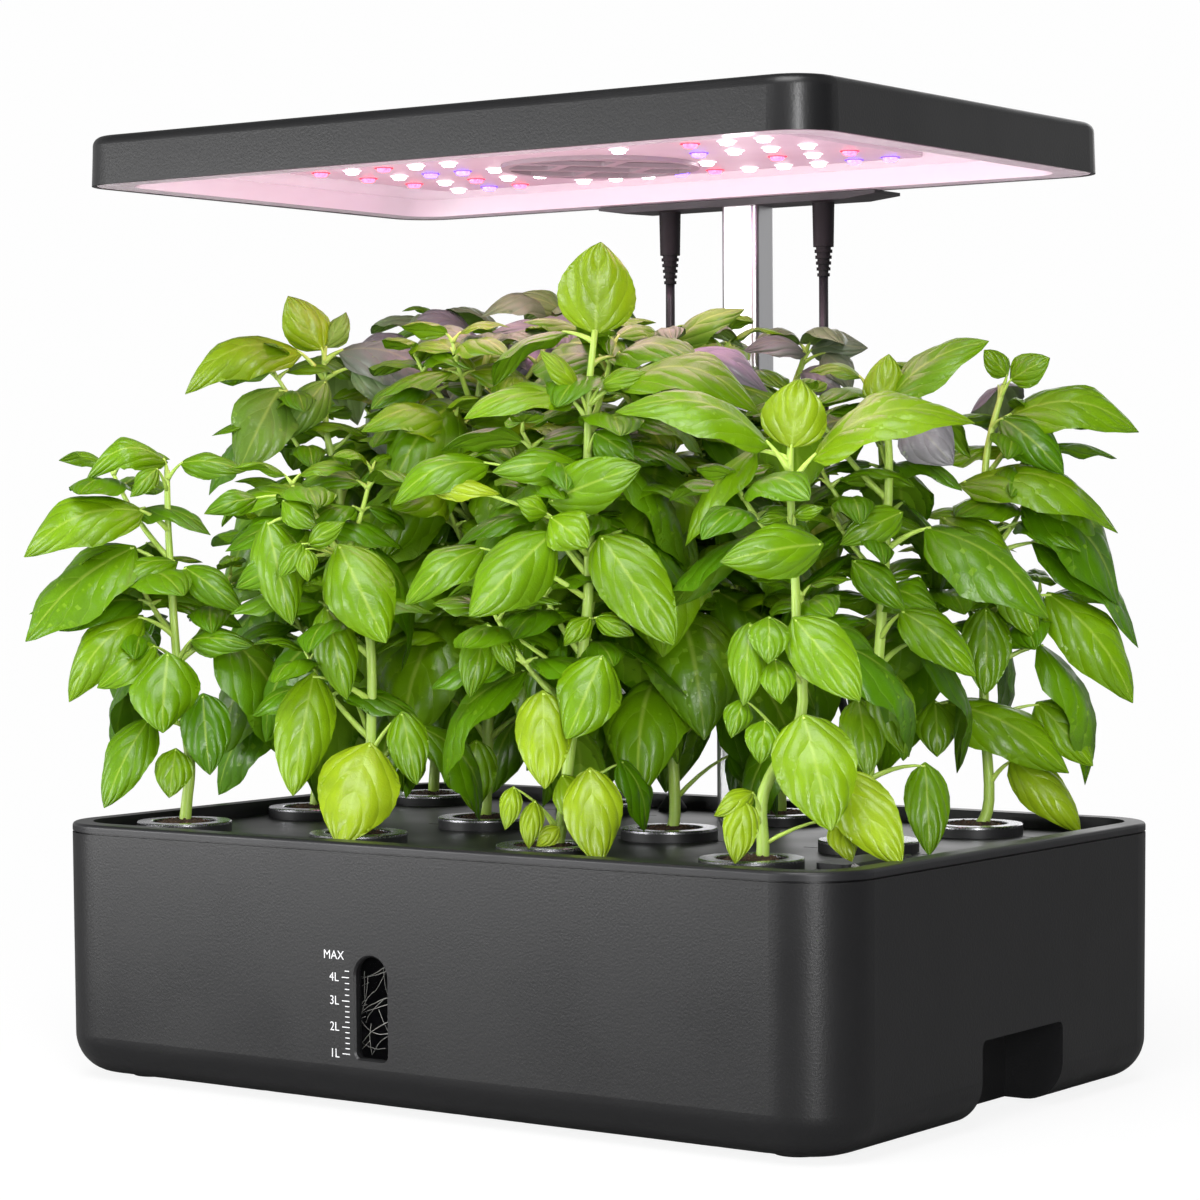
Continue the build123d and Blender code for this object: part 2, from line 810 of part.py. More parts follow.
with BuildPart() as pole_collar:
    bore_x = post_inner_x + 2 * sliding_gap
    bore_y = post_inner_y + 2 * sliding_gap
    skirt_x = post_outer_x + 2 * collar_wall
    skirt_y = post_outer_y + 2 * collar_wall
    with BuildSketch(level(post_outer_top, y=post_y)):
        RectangleRounded(skirt_x, skirt_y, post_outer_corner + collar_wall)
    with BuildSketch(level(post_outer_top + collar_height, y=post_y)):
        RectangleRounded(bore_x + 2 * collar_nose, bore_y + 2 * collar_nose, post_corner + collar_nose)
    loft()
    with BuildSketch(level(post_outer_top, y=post_y)):
        RectangleRounded(skirt_x, skirt_y, post_outer_corner + collar_wall)
        add(outer_tube_bore, mode=Mode.SUBTRACT)
    extrude(amount=-collar_skirt)
    with BuildSketch(level(post_outer_top, y=post_y)):
        RectangleRounded(bore_x, bore_y, post_corner + sliding_gap)
    extrude(amount=collar_height, mode=Mode.SUBTRACT)
save(pole_collar, "pole_collar")

with BuildPart() as pole_inner:
    with BuildSketch(level(post_inner_foot, y=post_y)):
        RectangleRounded(post_inner_x, post_inner_y, post_corner)
        RectangleRounded(
            post_inner_x - 2 * post_inner_wall,
            post_inner_y - 2 * post_inner_wall,
            post_corner - post_inner_wall,
            mode=Mode.SUBTRACT,
        )
    extrude(amount=lamp_bottom - post_inner_foot)
save(pole_inner, "pole_inner")

with BuildPart() as pole_slider:
    with BuildSketch(level(post_inner_foot, y=post_y)):
        RectangleRounded(
            post_guide_x - 2 * sliding_gap,
            post_guide_y - 2 * sliding_gap,
            post_corner + post_outer_gap - sliding_gap,
        )
        RectangleRounded(
            post_inner_x + 2 * press_gap,
            post_inner_y + 2 * press_gap,
            post_corner + press_gap,
            mode=Mode.SUBTRACT,
        )
    extrude(amount=slider_height)
save(pole_slider, "pole_slider")

# ---------------------------------------------------------------- lamp
draft_angle = degrees(atan(lamp_draft))
boss_y = lamp_rear - lamp_wall + boss_bite - boss_length / 2

with BuildPart() as lamp_housing:
    with BuildSketch(level(lamp_bottom, y=lamp_y)):
        RectangleRounded(lamp_length, lamp_depth, lamp_corner_radius)
    extrude(amount=lamp_height, taper=draft_angle)
    fillet(lamp_housing.edges().group_by(Axis.Z)[-1], lamp_top_radius)
    with BuildSketch(level(lamp_bottom, y=lamp_y)):
        RectangleRounded(
            lamp_length - 2 * lamp_wall, lamp_depth - 2 * lamp_wall, lamp_corner_radius - lamp_wall
        )
    extrude(amount=lamp_height - lamp_roof, taper=draft_angle, mode=Mode.SUBTRACT)
    with BuildSketch(level(roof_under)):
        with Locations(*[(x, boss_y) for x in screw_spacing]):
            Rectangle(boss_side, boss_length)
    extrude(amount=screw_z - boss_side / 2 - roof_under)
    with BuildSketch(upright(bracket_rear)):
        with Locations(*[(x, screw_z) for x in screw_spacing]):
            Circle(screw_radius + press_gap)
    extrude(amount=screw_length + press_gap, mode=Mode.SUBTRACT)
    with BuildSketch(level(roof_under)):
        with Locations(*button_places):
            Circle(button_radius + sliding_gap)
        with Locations(fan_place):
            with PolarLocations(vent_middle_radius, vent_slots):
                SlotOverall(vent_length, vent_width)
    extrude(amount=lamp_roof, mode=Mode.SUBTRACT)
save(lamp_housing, "lamp_housing")

tray_inset = lamp_wall + loose_gap
mouth_length = lamp_length - 2 * (tray_inset + tray_flange)
mouth_depth = lamp_depth - 2 * (tray_inset + tray_flange)

with BuildPart() as lamp_reflector:
    with BuildSketch(level(tray_bottom, y=lamp_y)):
        RectangleRounded(
            lamp_length - 2 * tray_inset, lamp_depth - 2 * tray_inset, lamp_corner_radius - tray_inset
        )
    extrude(amount=tray_sheet, taper=draft_angle)
    for grow, top, boolean in ((tray_sheet, tray_back, Mode.ADD), (0, tray_floor, Mode.SUBTRACT)):
        with BuildSketch(level(tray_bottom, y=lamp_y)):
            RectangleRounded(mouth_length + 2 * grow, mouth_depth + 2 * grow, tray_corner_radius + grow)
        rise = grow - tray_slope
        with BuildSketch(level(top, y=lamp_y)):
            RectangleRounded(mouth_length + 2 * rise, mouth_depth + 2 * rise, tray_corner_radius + rise)
        loft(mode=boolean)
    with BuildSketch(level(tray_floor, *fan_place)):
        Circle(fan_bore_radius)
    extrude(amount=tray_sheet, mode=Mode.SUBTRACT)
save(lamp_reflector, "lamp_reflector")

with BuildPart() as led_board:
    with BuildSketch(level(board_bottom, *fan_place)):
        RectangleRounded(2 * board_half_length, 2 * board_half_depth, board_corner_radius)
        Circle(fan_bore_radius, mode=Mode.SUBTRACT)
    extrude(amount=board_thickness)
save(led_board, "led_board")


def led_places(colour):
    """Middles of the light-emitting diodes of one colour, read from the rows."""
    return [
        (board_offset_x + led_pitch * (k - (len(row) - 1) / 2), led_row_start - led_row_pitch * number)
        for number, row in enumerate(led_rows)
        for k, letter in enumerate(row)
        if letter == colour
    ]


for colour, colour_name in (("W", "white"), ("R", "red"), ("V", "violet")):
    with BuildPart() as leds:
        with BuildSketch(level(board_bottom)):
            with Locations(*led_places(colour)):
                Circle(led_radius)
        extrude(amount=-led_height)
        fillet(leds.edges().group_by(Axis.Z)[0], led_edge_radius)
    save(leds, f"leds_{colour_name}")

# ---------------------------------------------------------------- fan
cell_pitch_x = grille_cell_length + grille_bar
cell_pitch_y = grille_cell_width + grille_bar
grille_cells = [
    ((column + 0.5 * (row % 2)) * cell_pitch_x, row * cell_pitch_y)
    for row in range(-grille_half_rows, grille_half_rows + 1)
    for column in range(-grille_half_rows, grille_half_rows + 1)
]

with BuildPart() as fan_grille:
    with BuildSketch(level(board_bottom, *fan_place)):
        Circle(grille_radius)
    extrude(amount=-grille_thickness)
    with BuildSketch(level(board_bottom, *fan_place).rotated((0, 0, grille_turn))):
        with Locations(*grille_cells):
            RectangleRounded(grille_cell_length, grille_cell_width, grille_cell_corner)
        Circle(grille_radius - grille_rim, mode=Mode.INTERSECT)
    extrude(amount=-grille_thickness, mode=Mode.SUBTRACT)
save(fan_grille, "fan_grille")

fan_strut_length = fan_bore_radius + fan_strut_bite

with BuildPart() as fan_frame:
    with BuildSketch(level(fan_bottom, *fan_place)):
        RectangleRounded(fan_side, fan_side, fan_corner_radius)
        Circle(fan_bore_radius, mode=Mode.SUBTRACT)
    extrude(amount=fan_height)
    with BuildSketch(level(fan_top, *fan_place)):
        Circle(fan_hub_radius)
        with PolarLocations(fan_strut_length / 2, fan_struts, start_angle=180 / fan_struts):
            Rectangle(fan_strut_length, fan_strut_width)
    extrude(amount=-fan_strut_height)
    with BuildSketch(level(fan_top, *fan_place)):
        Circle(fan_pin_radius)
    extrude(amount=pin_end_gap - fan_height)
save(fan_frame, "fan_frame")

hub_top = fan_top - fan_strut_height - fan_axial_gap
hub_height = hub_top - fan_bottom - fan_axial_gap
blade_start = fan_hub_radius - fan_blade_root
blade_end = fan_bore_radius - fan_tip_gap

with BuildPart() as fan_rotor:
    with BuildSketch(level(hub_top, *fan_place)):
        Circle(fan_hub_radius)
    extrude(amount=-hub_height)
    for blade in range(fan_blades):
        with BuildSketch(
            radial(2 * pi * blade / fan_blades, *fan_place, hub_top - hub_height / 2, reach=blade_start)
        ):
            Rectangle(fan_blade_chord, fan_blade_thickness, rotation=fan_blade_pitch)
        extrude(amount=blade_end - blade_start)
    with BuildSketch(level(fan_bottom + fan_blade_gap, *fan_place)):
        Circle(blade_end)
    extrude(amount=fan_height - fan_strut_height - 2 * fan_blade_gap, mode=Mode.INTERSECT)
    with BuildSketch(level(fan_bottom, *fan_place)):
        Circle(fan_pin_radius + running_gap)
    extrude(amount=fan_height, mode=Mode.SUBTRACT)
save(fan_rotor, "fan_rotor")

# ---------------------------------------------------------------- buttons and their board
for place, side_name in zip(button_places, ("left", "middle", "right")):
    with BuildPart() as button:
        with BuildSketch(level(roof_under, *place)):
            Circle(button_radius)
        extrude(amount=lamp_roof + button_height)
        fillet(button.edges().group_by(Axis.Z)[-1], button_edge_radius)
        with BuildSketch(level(roof_under, *place)):
            Circle(button_radius + button_flange_width)
        extrude(amount=-button_flange)
    save(button, f"button_{side_name}")

with BuildPart() as control_board:
    board_top = roof_under - button_flange - button_travel - switch_gap - switch_height
    with BuildSketch(level(board_top, y=button_y)):
        Rectangle(control_board_length, control_board_width)
    extrude(amount=-board_thickness)
    with BuildSketch(level(board_top)):
        with Locations(*button_places):
            Circle(switch_radius)
    extrude(amount=switch_height)
    with BuildSketch(level(board_top - board_thickness, y=button_y)):
        with GridLocations(control_post_spacing, 0, 2, 1):
            Circle(control_post_radius)
    extrude(amount=tray_back - board_top + board_thickness)
save(control_board, "control_board")

# ---------------------------------------------------------------- bracket, screws, plugs
block_front = lamp_rear + loose_gap

with BuildPart() as lamp_bracket:
    with BuildSketch(upright(bracket_rear)):
        with BuildLine():
            Polyline(
                (-bracket_half_length, lamp_bottom),
                (-bracket_half_length, bracket_bottom + bracket_bevel_height),
                (-bracket_half_length + bracket_bevel, bracket_bottom),
                (bracket_half_length - bracket_bevel, bracket_bottom),
                (bracket_half_length, bracket_bottom + bracket_bevel_height),
                (bracket_half_length, lamp_bottom),
                close=True,
            )
        make_face()
    extrude(amount=bracket_front + bracket_back)
    with BuildSketch(level(lamp_bottom, y=(block_front + bracket_rear) / 2)):
        RectangleRounded(2 * bracket_block_half, bracket_rear - block_front, bracket_block_corner)
    extrude(amount=bracket_block_height)
    with BuildSketch(level(bracket_bottom, y=post_y)):
        RectangleRounded(
            post_inner_x + 2 * press_gap, post_inner_y + 2 * press_gap, post_corner + press_gap
        )
    extrude(amount=bracket_plate, mode=Mode.SUBTRACT)
    with BuildSketch(level(bracket_bottom)):
        with Locations((plug_pump_x, post_y), (plug_power_x, post_y)):
            Circle(plug_nose_radius + press_gap)
    extrude(amount=plug_nose_length, mode=Mode.SUBTRACT)
    with BuildSketch(upright(bracket_rear)):
        with Locations(*[(x, screw_z) for x in screw_spacing]):
            Circle(screw_radius + press_gap)
    extrude(amount=bracket_rear - block_front, mode=Mode.SUBTRACT)
save(lamp_bracket, "lamp_bracket")

with BuildPart() as bracket_screws:
    with BuildSketch(upright(bracket_rear)):
        with Locations(*[(x, screw_z) for x in screw_spacing]):
            Circle(screw_radius)
    extrude(amount=screw_length)
    with BuildSketch(upright(bracket_rear)):
        with Locations(*[(x, screw_z) for x in screw_spacing]):
            Circle(screw_head_radius)
    extrude(amount=-screw_head_height)
    fillet(bracket_screws.edges().group_by(Axis.Y)[-1], screw_head_round)
    with BuildSketch(upright(bracket_rear + screw_head_height)):
        with Locations(*[(x, screw_z) for x in screw_spacing]):
            Rectangle(2 * screw_radius, screw_slot)
            Rectangle(screw_slot, 2 * screw_radius)
    extrude(amount=screw_slot_depth, mode=Mode.SUBTRACT)
save(bracket_screws, "bracket_screws")

plug_profile = [
    (0, bracket_bottom + plug_nose_length),
    (plug_nose_radius, bracket_bottom + plug_nose_length),
    (plug_nose_radius, bracket_bottom),
    (plug_radius, bracket_bottom),
    (plug_radius - plug_taper, plug_foot),
]
rib_pitch = relief_length / relief_ribs
for rib in range(relief_ribs):
    rib_top = plug_foot - rib * rib_pitch
    rib_radius = relief_start_radius + (relief_end_radius - relief_start_radius) * rib / (relief_ribs - 1)
    plug_profile += [
        (rib_radius - relief_groove, rib_top),
        (rib_radius - relief_groove, rib_top - rib_pitch / 2),
        (rib_radius, rib_top - rib_pitch / 2),
        (rib_radius, rib_top - rib_pitch),
    ]
plug_profile.append((0, relief_foot))

for plug_x, plug_name in ((plug_pump_x, "plug_pump"), (plug_power_x, "plug_power")):
    with BuildPart() as lead_plug:
        with BuildSketch(upright(post_y, plug_x)):
            with BuildLine():
                Polyline(*plug_profile, close=True)
            make_face()
        revolve(axis=Axis((plug_x, post_y, 0), (0, 0, 1)))
    save(lead_plug, plug_name)

with BuildPart() as lead_grommet:
    with BuildSketch(upright(post_y, plug_pump_x)):
        with BuildLine():
            Polyline(
                (0, deck_under - grommet_neck_drop),
                (grommet_neck_radius, deck_under - grommet_neck_drop),
                (grommet_neck_radius, deck_z),
                (grommet_radius, deck_z),
                (grommet_radius, deck_z + grommet_edge),
                (relief_end_radius, deck_z + grommet_height),
                (0, deck_z + grommet_height),
                close=True,
            )
        make_face()
    revolve(axis=Axis((plug_pump_x, post_y, 0), (0, 0, 1)))
save(lead_grommet, "lead_grommet")

# ---------------------------------------------------------------- pump
with BuildPart() as pump_body:
    with BuildSketch(level(pump_bottom, *pump_place)):
        RectangleRounded(pump_side, pump_side, pump_corner)
    extrude(amount=pump_height)
    fillet(pump_body.edges().group_by(Axis.Z)[-1], pump_edge_radius)
    with BuildSketch(level(pump_bottom, *pump_place)):
        Circle(chamber_radius)
    extrude(amount=chamber_depth, mode=Mode.SUBTRACT)
    with BuildSketch(level(pump_bottom + chamber_depth, *pump_place)):
        Circle(impeller_pin_radius)
    extrude(amount=pin_end_gap - chamber_depth)
save(pump_body, "pump_body")

with BuildPart() as pump_cover:
    with BuildSketch(level(pump_bottom, *pump_place)):
        RectangleRounded(pump_side, pump_side, pump_corner)
        with GridLocations(2 * cover_slot_width, 0, cover_slots, 1):
            SlotOverall(cover_slot_length, cover_slot_width, rotation=90, mode=Mode.SUBTRACT)
    extrude(amount=-cover_thickness)
save(pump_cover, "pump_cover")

with BuildPart() as pump_impeller:
    with BuildSketch(level(pump_bottom + (chamber_depth - impeller_height) / 2, *pump_place)):
        Circle(impeller_hub_radius)
        with PolarLocations(impeller_radius / 2, impeller_vanes):
            Rectangle(impeller_radius, vane_thickness)
        Circle(impeller_pin_radius + running_gap, mode=Mode.SUBTRACT)
    extrude(amount=impeller_height)
save(pump_impeller, "pump_impeller")

with BuildPart() as pump_riser:
    with BuildSketch(level(pump_top, *pump_place)):
        Circle(riser_radius)
        Circle(riser_bore_radius, mode=Mode.SUBTRACT)
    extrude(amount=deck_under - pump_top)
save(pump_riser, "pump_riser")

# ---------------------------------------------------------------- clip and leads
clip_bottom = rim_bottom + loose_gap
clip_top = rim_top + clip_height

clip_side = Plane(origin=(plug_power_x - clip_width / 2, 0, 0), x_dir=(0, 1, 0), z_dir=(1, 0, 0))

with BuildPart() as cable_clip:
    with BuildSketch(clip_side):
        with BuildLine():
            Polyline(
                (half_depth - clip_hook, rim_top),
                (half_depth, rim_top),
                (half_depth, clip_bottom),
                (half_depth + clip_back, clip_bottom),
                (half_depth + clip_back, clip_top),
                (half_depth - clip_hook, clip_top),
                close=True,
            )
        make_face()
    extrude(amount=clip_width)
    fillet(cable_clip.edges().filter_by(Axis.X).group_by(Axis.Z)[-1], clip_edge_radius)
save(cable_clip, "cable_clip")


def route_radii(points):
    """The radius of the arc at each corner of a route, as large as its two runs allow."""
    runs = [Vector(*after) - Vector(*before) for before, after in zip(points, points[1:])]
    radii = []
    for arriving, leaving in zip(runs, runs[1:]):
        half_turn = radians(arriving.get_angle(leaving)) / 2
        radii.append(route_share * min(arriving.length, leaving.length) / tan(half_turn))
    return radii


for lead_name, lead_route in lead_routes.items():
    lead_points = [(x, post_y + y, z) for x, y, z in lead_route]
    bend_radii = route_radii(lead_points)
    with BuildPart() as lead:
        with BuildLine() as lead_path:
            FilletPolyline(*lead_points, radius=bend_radii)
        with BuildSketch(Plane(origin=lead_path.line @ 0, z_dir=lead_path.line % 0)):
            Circle(lead_radius)
        sweep()
    tube_volume = pi * lead_radius**2 * lead_path.wire().length
    print(lead_name, "radii", [round(radius, 1) for radius in bend_radii])
    print(lead_name, "volume against section times length", round(lead.part.volume / tube_volume, 4))
    save(lead, lead_name)

with BuildPart() as power_lead_coil:
    with BuildSketch(level(0, coil_x, coil_y)):
        Circle(coil_outer_radius)
        Circle(coil_inner_radius, mode=Mode.SUBTRACT)
    extrude(amount=coil_height)
    fillet(power_lead_coil.edges(), coil_rounding * lead_radius)
save(power_lead_coil, "power_lead_coil")

# The lead leaves the coil along its outer turn, level with its upper layer, into the adapter's relief
relief_y = coil_y + coil_turn_radius
relief_z = coil_height - lead_radius
relief_mouth = coil_x - sqrt(coil_outer_radius**2 - coil_turn_radius**2) + adapter_relief_bite
adapter_face = relief_mouth - adapter_relief_length

with BuildPart() as power_adapter:
    with BuildSketch(level(0, adapter_face - adapter_length / 2, relief_y)):
        Rectangle(adapter_length, adapter_width)
    extrude(amount=adapter_height)
    fillet(power_adapter.edges(), adapter_edge_radius)
    relief_root = adapter_face - adapter_edge_radius
    for x, radius in ((relief_root, adapter_relief_radius), (relief_mouth, relief_end_radius)):
        with BuildSketch(Plane(origin=(x, relief_y, relief_z), x_dir=(0, 1, 0), z_dir=(1, 0, 0))):
            Circle(radius)
    loft()
    with BuildSketch(
        Plane(
            origin=(adapter_face - adapter_length, relief_y, adapter_height / 2),
            x_dir=(0, 1, 0),
            z_dir=(-1, 0, 0),
        )
    ):
        with GridLocations(prong_spacing, 0, 2, 1):
            Rectangle(prong_thickness, prong_width)
    extrude(amount=prong_length)
save(power_adapter, "power_adapter")
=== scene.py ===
"""Looks of a countertop hydroponic garden: finishes, leads, level window, basil plants, lamp light, stage."""

from collections import namedtuple

import bpy
import numpy as np
from bpy.props import FloatProperty, FloatVectorProperty, IntProperty, PointerProperty, StringProperty
from mathutils import Matrix, Vector


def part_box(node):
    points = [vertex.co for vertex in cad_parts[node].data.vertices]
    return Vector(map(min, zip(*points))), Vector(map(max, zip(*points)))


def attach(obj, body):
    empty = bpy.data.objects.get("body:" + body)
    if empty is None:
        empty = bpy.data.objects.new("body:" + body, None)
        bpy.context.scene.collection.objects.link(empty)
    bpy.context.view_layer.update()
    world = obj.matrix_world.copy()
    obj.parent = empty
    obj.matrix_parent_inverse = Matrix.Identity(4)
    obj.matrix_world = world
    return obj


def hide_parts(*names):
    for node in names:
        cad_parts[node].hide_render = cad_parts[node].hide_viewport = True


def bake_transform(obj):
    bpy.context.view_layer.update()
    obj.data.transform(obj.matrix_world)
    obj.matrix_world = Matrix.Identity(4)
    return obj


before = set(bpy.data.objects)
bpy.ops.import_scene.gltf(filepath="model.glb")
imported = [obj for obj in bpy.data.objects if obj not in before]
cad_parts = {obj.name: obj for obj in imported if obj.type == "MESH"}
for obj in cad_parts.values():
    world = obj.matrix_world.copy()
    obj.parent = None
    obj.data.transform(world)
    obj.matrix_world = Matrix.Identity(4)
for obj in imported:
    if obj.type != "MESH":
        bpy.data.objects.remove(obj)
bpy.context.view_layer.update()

bl_info = {
    "name": "Countertop garden",
    "version": (1, 0, 0),
    "blender": (4, 5, 0),
    "location": "3D View > Sidebar > Garden",
    "description": "Finishes, leads, plants, lamp light and stage of a countertop hydroponic garden",
    "category": "Object",
}

# ---------------------------------------------------------------- places taken from the frame, in metres
TANK_LOW, TANK_HIGH = (Vector(corner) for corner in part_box("tank"))
LENS_LOW, LENS_HIGH = (Vector(corner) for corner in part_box("window_lens"))
PLUG_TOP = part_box("growing_plugs")[1][2]
RING_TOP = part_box("pod_trim_rings")[1][2]
BOARD_LOW, BOARD_HIGH = (Vector(corner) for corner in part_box("led_board"))
POD_X = (-0.151, -0.06087, 0.02927, 0.1194)
POD_Y = (-0.077, 0.0025, 0.082)
FRONT_DRAFT = 0.0055  # the tank's front leans out by this much for each metre of drop


# ---------------------------------------------------------------- colours, nodes and meshes
def linear(code):
    """An sRGB hex colour as the four linear values of a colour socket."""
    shares = [int(code[start : start + 2], 16) / 255 for start in (1, 3, 5)]
    return (*(s / 12.92 if s <= 0.04045 else ((s + 0.055) / 1.055) ** 2.4 for s in shares), 1.0)


def add_node(tree, kind, inputs=None, **settings):
    """Adds a node with its settings; an input is a value, a socket, or a node that is linked by its first."""
    node = tree.nodes.new(kind)
    for name, value in settings.items():
        setattr(node, name, value)
    for key, value in (inputs or {}).items():
        source = value.outputs[0] if isinstance(value, bpy.types.Node) else value
        if isinstance(source, bpy.types.NodeSocket):
            tree.links.new(source, node.inputs[key])
        else:
            node.inputs[key].default_value = source
    return node


BLACK = (0.0, 0.0, 0.0, 1.0)
WHITE = (1.0, 1.0, 1.0, 1.0)
PATCH_DARKENING = 0.16  # how far the duller patches of a moulding go towards black


def new_material(name):
    """An empty node material, its tree and its Object coordinates."""
    material = bpy.data.materials.new(name)
    material.use_nodes = True
    tree = material.node_tree
    tree.nodes.clear()
    return material, tree, add_node(tree, "ShaderNodeTexCoord").outputs["Object"]


def moulded(
    name, colour, roughness, grain_mm, depth_mm, patch_mm=45.0, specular=0.5, coat=0.0, unevenness=0.05
):
    """A moulded plastic or rubber: a fine mould grain, and gloss that varies a little in wide patches."""
    material, tree, place = new_material(name)
    grain = add_node(tree, "ShaderNodeTexNoise", {"Vector": place, "Scale": 1000 / grain_mm, "Detail": 2.0})
    patch = add_node(tree, "ShaderNodeTexNoise", {"Vector": place, "Scale": 1000 / patch_mm, "Detail": 3.0})
    gloss = add_node(
        tree,
        "ShaderNodeMapRange",
        {"Value": patch, 1: 0.3, 2: 0.7, 3: roughness - unevenness, 4: roughness + unevenness},
    )
    relief = add_node(
        tree, "ShaderNodeBump", {"Height": grain, "Strength": 1.0, "Distance": depth_mm / 1000}
    )
    dirt = add_node(tree, "ShaderNodeMath", {0: patch, 1: PATCH_DARKENING}, operation="MULTIPLY")
    shade = add_node(tree, "ShaderNodeMix", {0: dirt, 6: colour, 7: BLACK}, data_type="RGBA").outputs[2]
    surface = add_node(
        tree,
        "ShaderNodeBsdfPrincipled",
        {
            "Base Color": shade,
            "Roughness": gloss,
            "Normal": relief,
            "Specular IOR Level": specular,
            "Coat Weight": coat,
        },
    )
    add_node(tree, "ShaderNodeOutputMaterial", {"Surface": surface})
    return material


def anodised(name, colour, roughness, streak_mm=(0.35, 0.35, 60.0), depth_mm=0.004):
    """Anodised aluminium or plated steel: metal with fine lines along the way it was drawn or turned."""
    material, tree, place = new_material(name)
    stretched = add_node(
        tree, "ShaderNodeMapping", {"Vector": place, "Scale": tuple(1000 / size for size in streak_mm)}
    )
    streak = add_node(
        tree, "ShaderNodeTexNoise", {"Vector": stretched, "Scale": 1.0, "Detail": 3.0}
    )
    gloss = add_node(
        tree, "ShaderNodeMapRange", {"Value": streak, 3: roughness - 0.06, 4: roughness + 0.06}
    )
    relief = add_node(
        tree, "ShaderNodeBump", {"Height": streak, "Strength": 1.0, "Distance": depth_mm / 1000}
    )
    surface = add_node(
        tree,
        "ShaderNodeBsdfPrincipled",
        {"Base Color": colour, "Metallic": 1.0, "Roughness": gloss, "Normal": relief},
    )
    add_node(tree, "ShaderNodeOutputMaterial", {"Surface": surface})
    return material


def lit_silicone(name, colour, core, strength):
    """A lit diode's silicone: it glows in its colour, with paler specks where the die shines through."""
    material, tree, place = new_material(name)
    speck = add_node(tree, "ShaderNodeTexNoise", {"Vector": place, "Scale": 1000 / 1.2, "Detail": 1.0})
    glow = add_node(tree, "ShaderNodeMix", {0: speck, 6: colour, 7: core}, data_type="RGBA").outputs[2]
    surface = add_node(
        tree,
        "ShaderNodeBsdfPrincipled",
        {"Base Color": core, "Roughness": 0.15, "Emission Color": glow, "Emission Strength": strength},
    )
    add_node(tree, "ShaderNodeOutputMaterial", {"Surface": surface})
    return material


def paint(nodes, material):
    """Gives CAD nodes a finish."""
    for name in nodes:
        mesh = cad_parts[name].data
        mesh.materials.clear()
        mesh.materials.append(material)


def mesh_piece(name, points, faces, materials, smooth=True, kinds=None):
    """An object at the origin from points in metres and lists of corners."""
    mesh = bpy.data.meshes.new(name)
    mesh.from_pydata([tuple(point) for point in points], [], [tuple(face) for face in faces])
    for material in materials:
        mesh.materials.append(material)
    mesh.polygons.foreach_set("use_smooth", [smooth] * len(mesh.polygons))
    if kinds is not None:
        mesh.polygons.foreach_set("material_index", kinds)
    mesh.update()
    piece = bpy.data.objects.new(name, mesh)
    bpy.context.scene.collection.objects.link(piece)
    return piece


def settled(piece):
    """Turns what a piece's modifiers make into its plain mesh."""
    graph = bpy.context.evaluated_depsgraph_get()
    mesh = bpy.data.meshes.new_from_object(piece.evaluated_get(graph))
    piece.modifiers.clear()
    piece.data = mesh
    mesh.name = piece.name
    return piece


def curve_mesh(curve):
    """The mesh of a curve, which itself is removed."""
    holder = bpy.data.objects.new(curve.name, curve)
    bpy.context.scene.collection.objects.link(holder)
    graph = bpy.context.evaluated_depsgraph_get()
    mesh = bpy.data.meshes.new_from_object(holder.evaluated_get(graph))
    bpy.data.objects.remove(holder)
    return mesh


def join(name, pieces):
    """One object from several plain mesh objects at the origin, with their finishes."""
    points, faces, kinds, materials, smooth = [], [], [], [], []
    for piece in pieces:
        first = len(points)
        points += [vertex.co[:] for vertex in piece.data.vertices]
        for material in piece.data.materials:
            if material not in materials:
                materials.append(material)
        for polygon in piece.data.polygons:
            faces.append([first + corner for corner in polygon.vertices])
            kinds.append(materials.index(piece.data.materials[polygon.material_index]))
            smooth.append(polygon.use_smooth)
        bpy.data.objects.remove(piece)
    whole = mesh_piece(name, points, faces, materials, kinds=kinds)
    whole.data.polygons.foreach_set("use_smooth", smooth)
    return whole


def new_geometry_tree(name, sizes):
    """A Geometry Nodes tree with a mesh in, a mesh out and one named input for each size."""
    tree = bpy.data.node_groups.new(name, "GeometryNodeTree")
    tree.interface.new_socket("Geometry", in_out="INPUT", socket_type="NodeSocketGeometry")
    tree.interface.new_socket("Geometry", in_out="OUTPUT", socket_type="NodeSocketGeometry")
    for label, kind, value in sizes:
        tree.interface.new_socket(label, in_out="INPUT", socket_type=kind).default_value = value
    return tree, add_node(tree, "NodeGroupInput").outputs


def set_tree(piece, tree, values):
    """Puts a tree on a piece and sets its named inputs by their identifiers."""
    modifier = piece.modifiers.new(tree.name, "NODES")
    modifier.node_group = tree
    for item in tree.interface.items_tree:
        if item.in_out == "INPUT" and item.name in values:
            modifier[item.identifier] = values[item.name]
    return piece


def end_tree(tree, geometry, material):
    """Ends a tree: its instances made real, in one finish."""
    whole = add_node(tree, "GeometryNodeRealizeInstances", {"Geometry": geometry})
    finished = add_node(tree, "GeometryNodeSetMaterial", {"Geometry": whole, "Material": material})
    add_node(tree, "NodeGroupOutput", {0: finished})


